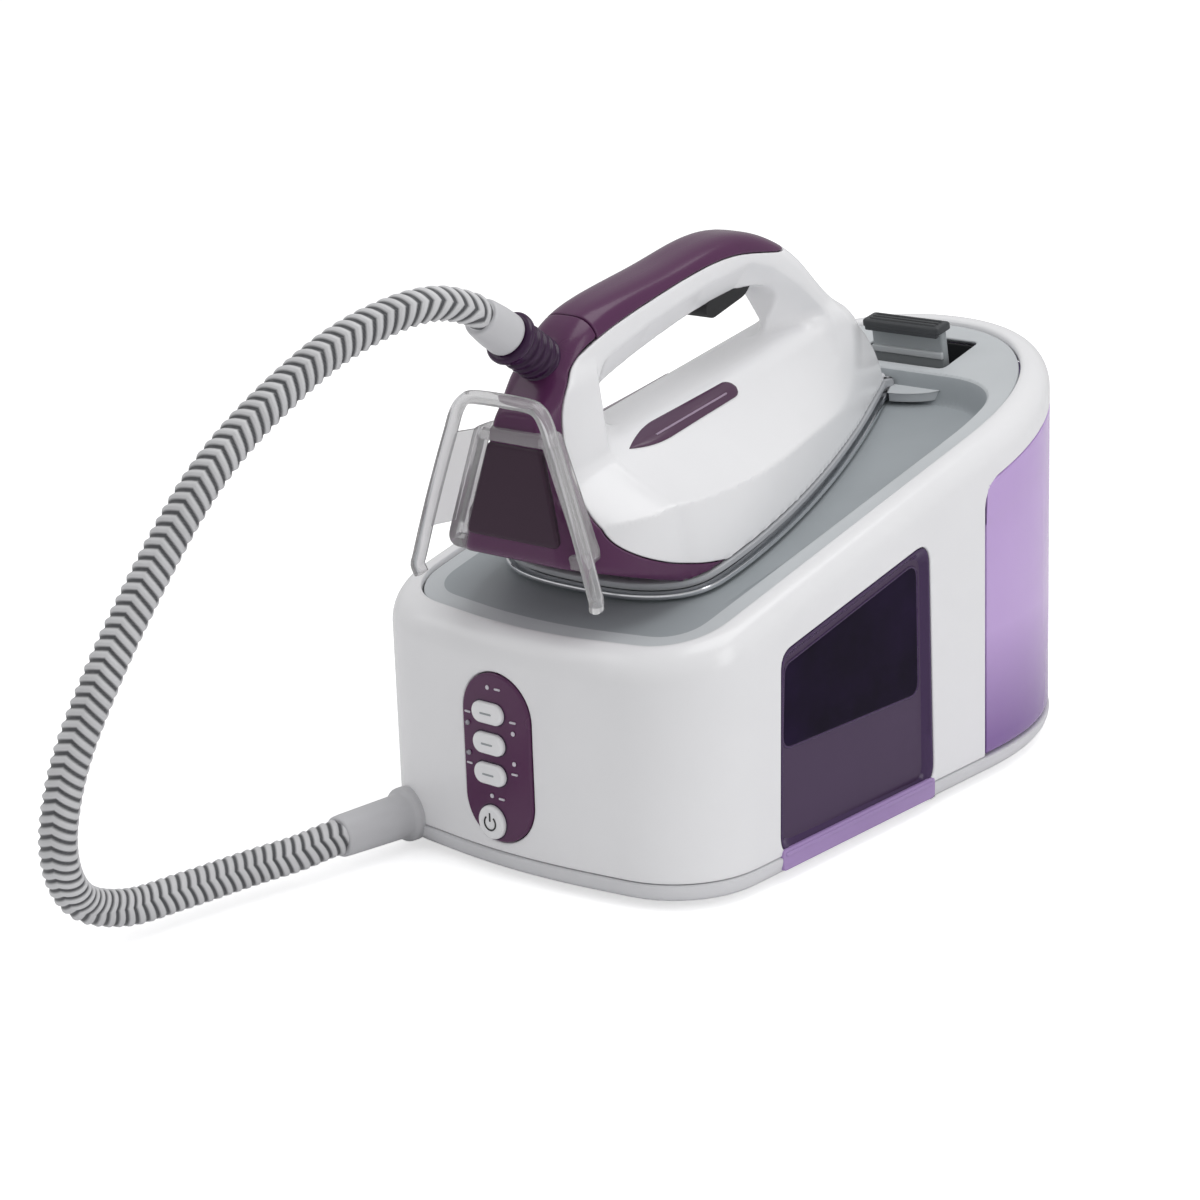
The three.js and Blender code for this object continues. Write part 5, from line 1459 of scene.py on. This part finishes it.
def hoop_web(side):
    """Clear web that joins the rim of the cup to one leg of the hoop."""
    rows = []
    for w in np.linspace(42, 86, 24):
        rim_x = CUP_TOP[0] + (CUP_TOP[1] - w) * 0.381 - 1.6
        rim_u = cup_u(w) + 1.4
        leg_x, leg_u = stand_line(w) + np.array([-1.5, 0.6])
        rows.append([(side * rim_x, rim_u, w), (side * leg_x, leg_u, w),
                     (side * leg_x, leg_u + 1.8, w), (side * rim_x, rim_u + 1.8, w)])
    return capped(np.array(rows, float))


def cup():
    """Open trapezoid cup round the purple heel, with a rounded rim."""
    (top, high), (foot, low) = CUP_TOP, CUP_FOOT
    corners = [(-foot, low), (foot, low), (top, high), (-top, high)]
    outline = resampled(eased(corners, (6, 6, 5, 5), 8), 200)
    normals = outward(outline)
    rings = []
    for inset, depth in ((6.4, 1.4), (5.8, 0.2), (5.0, -0.3), (0.8, -0.3), (0.1, 0.1), (0, 1.0),
                         (0.4, 5), (1.0, 9.4), (1.6, 10), (3.0, 9.8), (2.9, 6), (2.8, 3.0),
                         (4.6, 2.4), (6.2, 2.0)):
        flat = outline - inset * normals
        rings.append(np.stack([flat[:, 0], cup_u(flat[:, 1]) + depth, flat[:, 1]], 1))
    return looped(rings)


def heel_stand():
    """Clear hoop the iron is parked on, with a clear cup round the purple heel."""
    parts = [hoop(), cup(), hoop_web(1), hoop_web(-1)]
    mesh = join(*[facing_out(to_base(part)) for part in parts])
    piece("heel_stand_skin", mesh, CLEAR, "iron", ["heel_stand"])


def heel_panel():
    """Darker trapezoid let into the sloping rear face of the purple heel."""
    corners = [(-15.5, 81), (15.5, 81), (27.5, 40), (-27.5, 40)]
    outline = resampled(eased(corners[::-1], 3, 6), 160)

    def ring(inset, depth):
        flat = outline - inset * outward(outline)
        return np.stack([flat[:, 0], heel_face_u(flat[:, 1]) + depth, flat[:, 1]], 1)

    mesh = capped([ring(0, 1.5), ring(0, -0.2), ring(0.5, -0.7), ring(1.6, -0.8)])
    piece("heel_panel", facing_out(to_base(mesh)), HEEL_DARK, "iron")


# ------------------------------------------------------------------ carried-over CAD nodes
CAD_FINISH = {
    "lock_guide": DECK, "light_guide": CLEAR_DIM, "control_board": BOARD, "cord_tray": DARK,
    "cord_grommet": RUBBER, "mains_cord": RUBBER, "mains_plug": RUBBER, "tank_cap": PURPLE,
    "tank_valve": TRIM, "tank_socket": DARK, "boiler": BOILER_STEEL, "boiler_element": BRASS,
    "boiler_thermostat": ALUMINIUM, "rinse_plug": DARK, "pump": TRIM, "steam_valve": BRASS,
    "suction_tube": SILICONE, "feed_tube": SILICONE, "steam_pipe": SILICONE, "hose_pipe": SILICONE,
    "heater_block": ALUMINIUM, "steam_dome": ALUMINIUM, "sole_thermostat": BRASS,
    "thermal_fuse": TRIM, "inlet_tube": SILICONE, "steam_trigger": RUBBER, "trigger_spring": STEEL,
    "microswitch": DARK,
}


def finish_cad_nodes():
    for node, material in CAD_FINISH.items():
        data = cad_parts[node].data
        data.materials.clear()
        data.materials.append(material)
        smooth_by_angle(data, 32)


# ------------------------------------------------------------------ studio
def studio():
    """Pale floor and a backdrop that look white to the camera, and three soft lights."""
    bpy.ops.mesh.primitive_plane_add(size=8, location=(0, 0, -0.0005))
    floor = bpy.context.object
    floor.name = "floor"
    material, tree, bsdf = new_material("floor_paper")
    tone = mixed(tree, ramp(tree, noise(tree, 3, 3), 0, 1), (0.90, 0.90, 0.91), (0.95, 0.95, 0.955))
    link(tree, tone, bsdf.inputs["Base Color"])
    bsdf.inputs["Roughness"].default_value = 0.7
    seen = add_node(tree, "ShaderNodeLightPath").outputs["Is Camera Ray"]
    bsdf.inputs["Emission Color"].default_value = (1.0, 1.0, 1.0, 1)
    link(tree, ramp(tree, seen, 0.0, 0.55, 0.0, 1.0), bsdf.inputs["Emission Strength"])
    floor.data.materials.append(material)

    world = bpy.data.worlds.new("studio")
    world.use_nodes = True
    tree = world.node_tree
    backdrop = tree.nodes["Background"]
    backdrop.inputs["Color"].default_value = (1.0, 1.0, 1.0, 1)
    seen = add_node(tree, "ShaderNodeLightPath").outputs["Is Camera Ray"]
    link(tree, ramp(tree, seen, 0.52, 1.0, 0.0, 1.0), backdrop.inputs["Strength"])
    bpy.context.scene.world = world

    target = Vector((0, 0.05, 0.1))
    for name, at, size, power in (("key_above_left", (-1.3, -0.9, 1.5), (1.0, 1.0), 3),
                                  ("strip_right", (1.7, 0.1, 0.9), (0.5, 1.4), 5),
                                  ("overhead", (0.3, 0.3, 1.8), (1.2, 1.2), 10)):
        light = bpy.data.lights.new(name, "AREA")
        light.shape = "RECTANGLE"
        light.size, light.size_y = size
        light.energy = power
        lamp = bpy.data.objects.new(name, light)
        lamp.location = at
        lamp.rotation_euler = (target - Vector(at)).to_track_quat("-Z", "Y").to_euler()
        bpy.context.scene.collection.objects.link(lamp)


def camera():
    """The viewpoint: in front and to the right of the base, well above it, with a long lens."""
    azimuth, elevation = math.radians(CAMERA_AZIMUTH), math.radians(CAMERA_ELEVATION)
    back = Vector((math.sin(azimuth) * math.cos(elevation),
                   -math.cos(azimuth) * math.cos(elevation), math.sin(elevation)))
    level = (-back).to_track_quat("-Z", "Y")
    roll = Quaternion((0, 0, 1), math.radians(CAMERA_ROLL))
    data = bpy.data.cameras.new("view")
    data.sensor_width, data.lens = SENSOR_WIDTH, CAMERA_LENS
    data.clip_start, data.clip_end = 0.05, 20
    view = bpy.data.objects.new("view", data)
    view.location = CAMERA_PLACE + ORIGIN
    view.rotation_euler = (level @ roll).to_euler()
    bpy.context.scene.collection.objects.link(view)
    bpy.context.scene.camera = view


for make in (housing, bottom_plate, feet, deck, shaded_lock_well, panel, buttons, panel_marks, window,
             water_tank, lock, toe_ledge, rest_pads, hose, hose_ends, soleplate, skirt, iron_skins,
             lens_skins, boot, heel_panel, heel_stand, finish_cad_nodes, studio, camera):
    make()
bpy.context.scene.view_settings.view_transform = "Standard"
bpy.context.scene.cycles.sample_clamp_indirect = 1.0
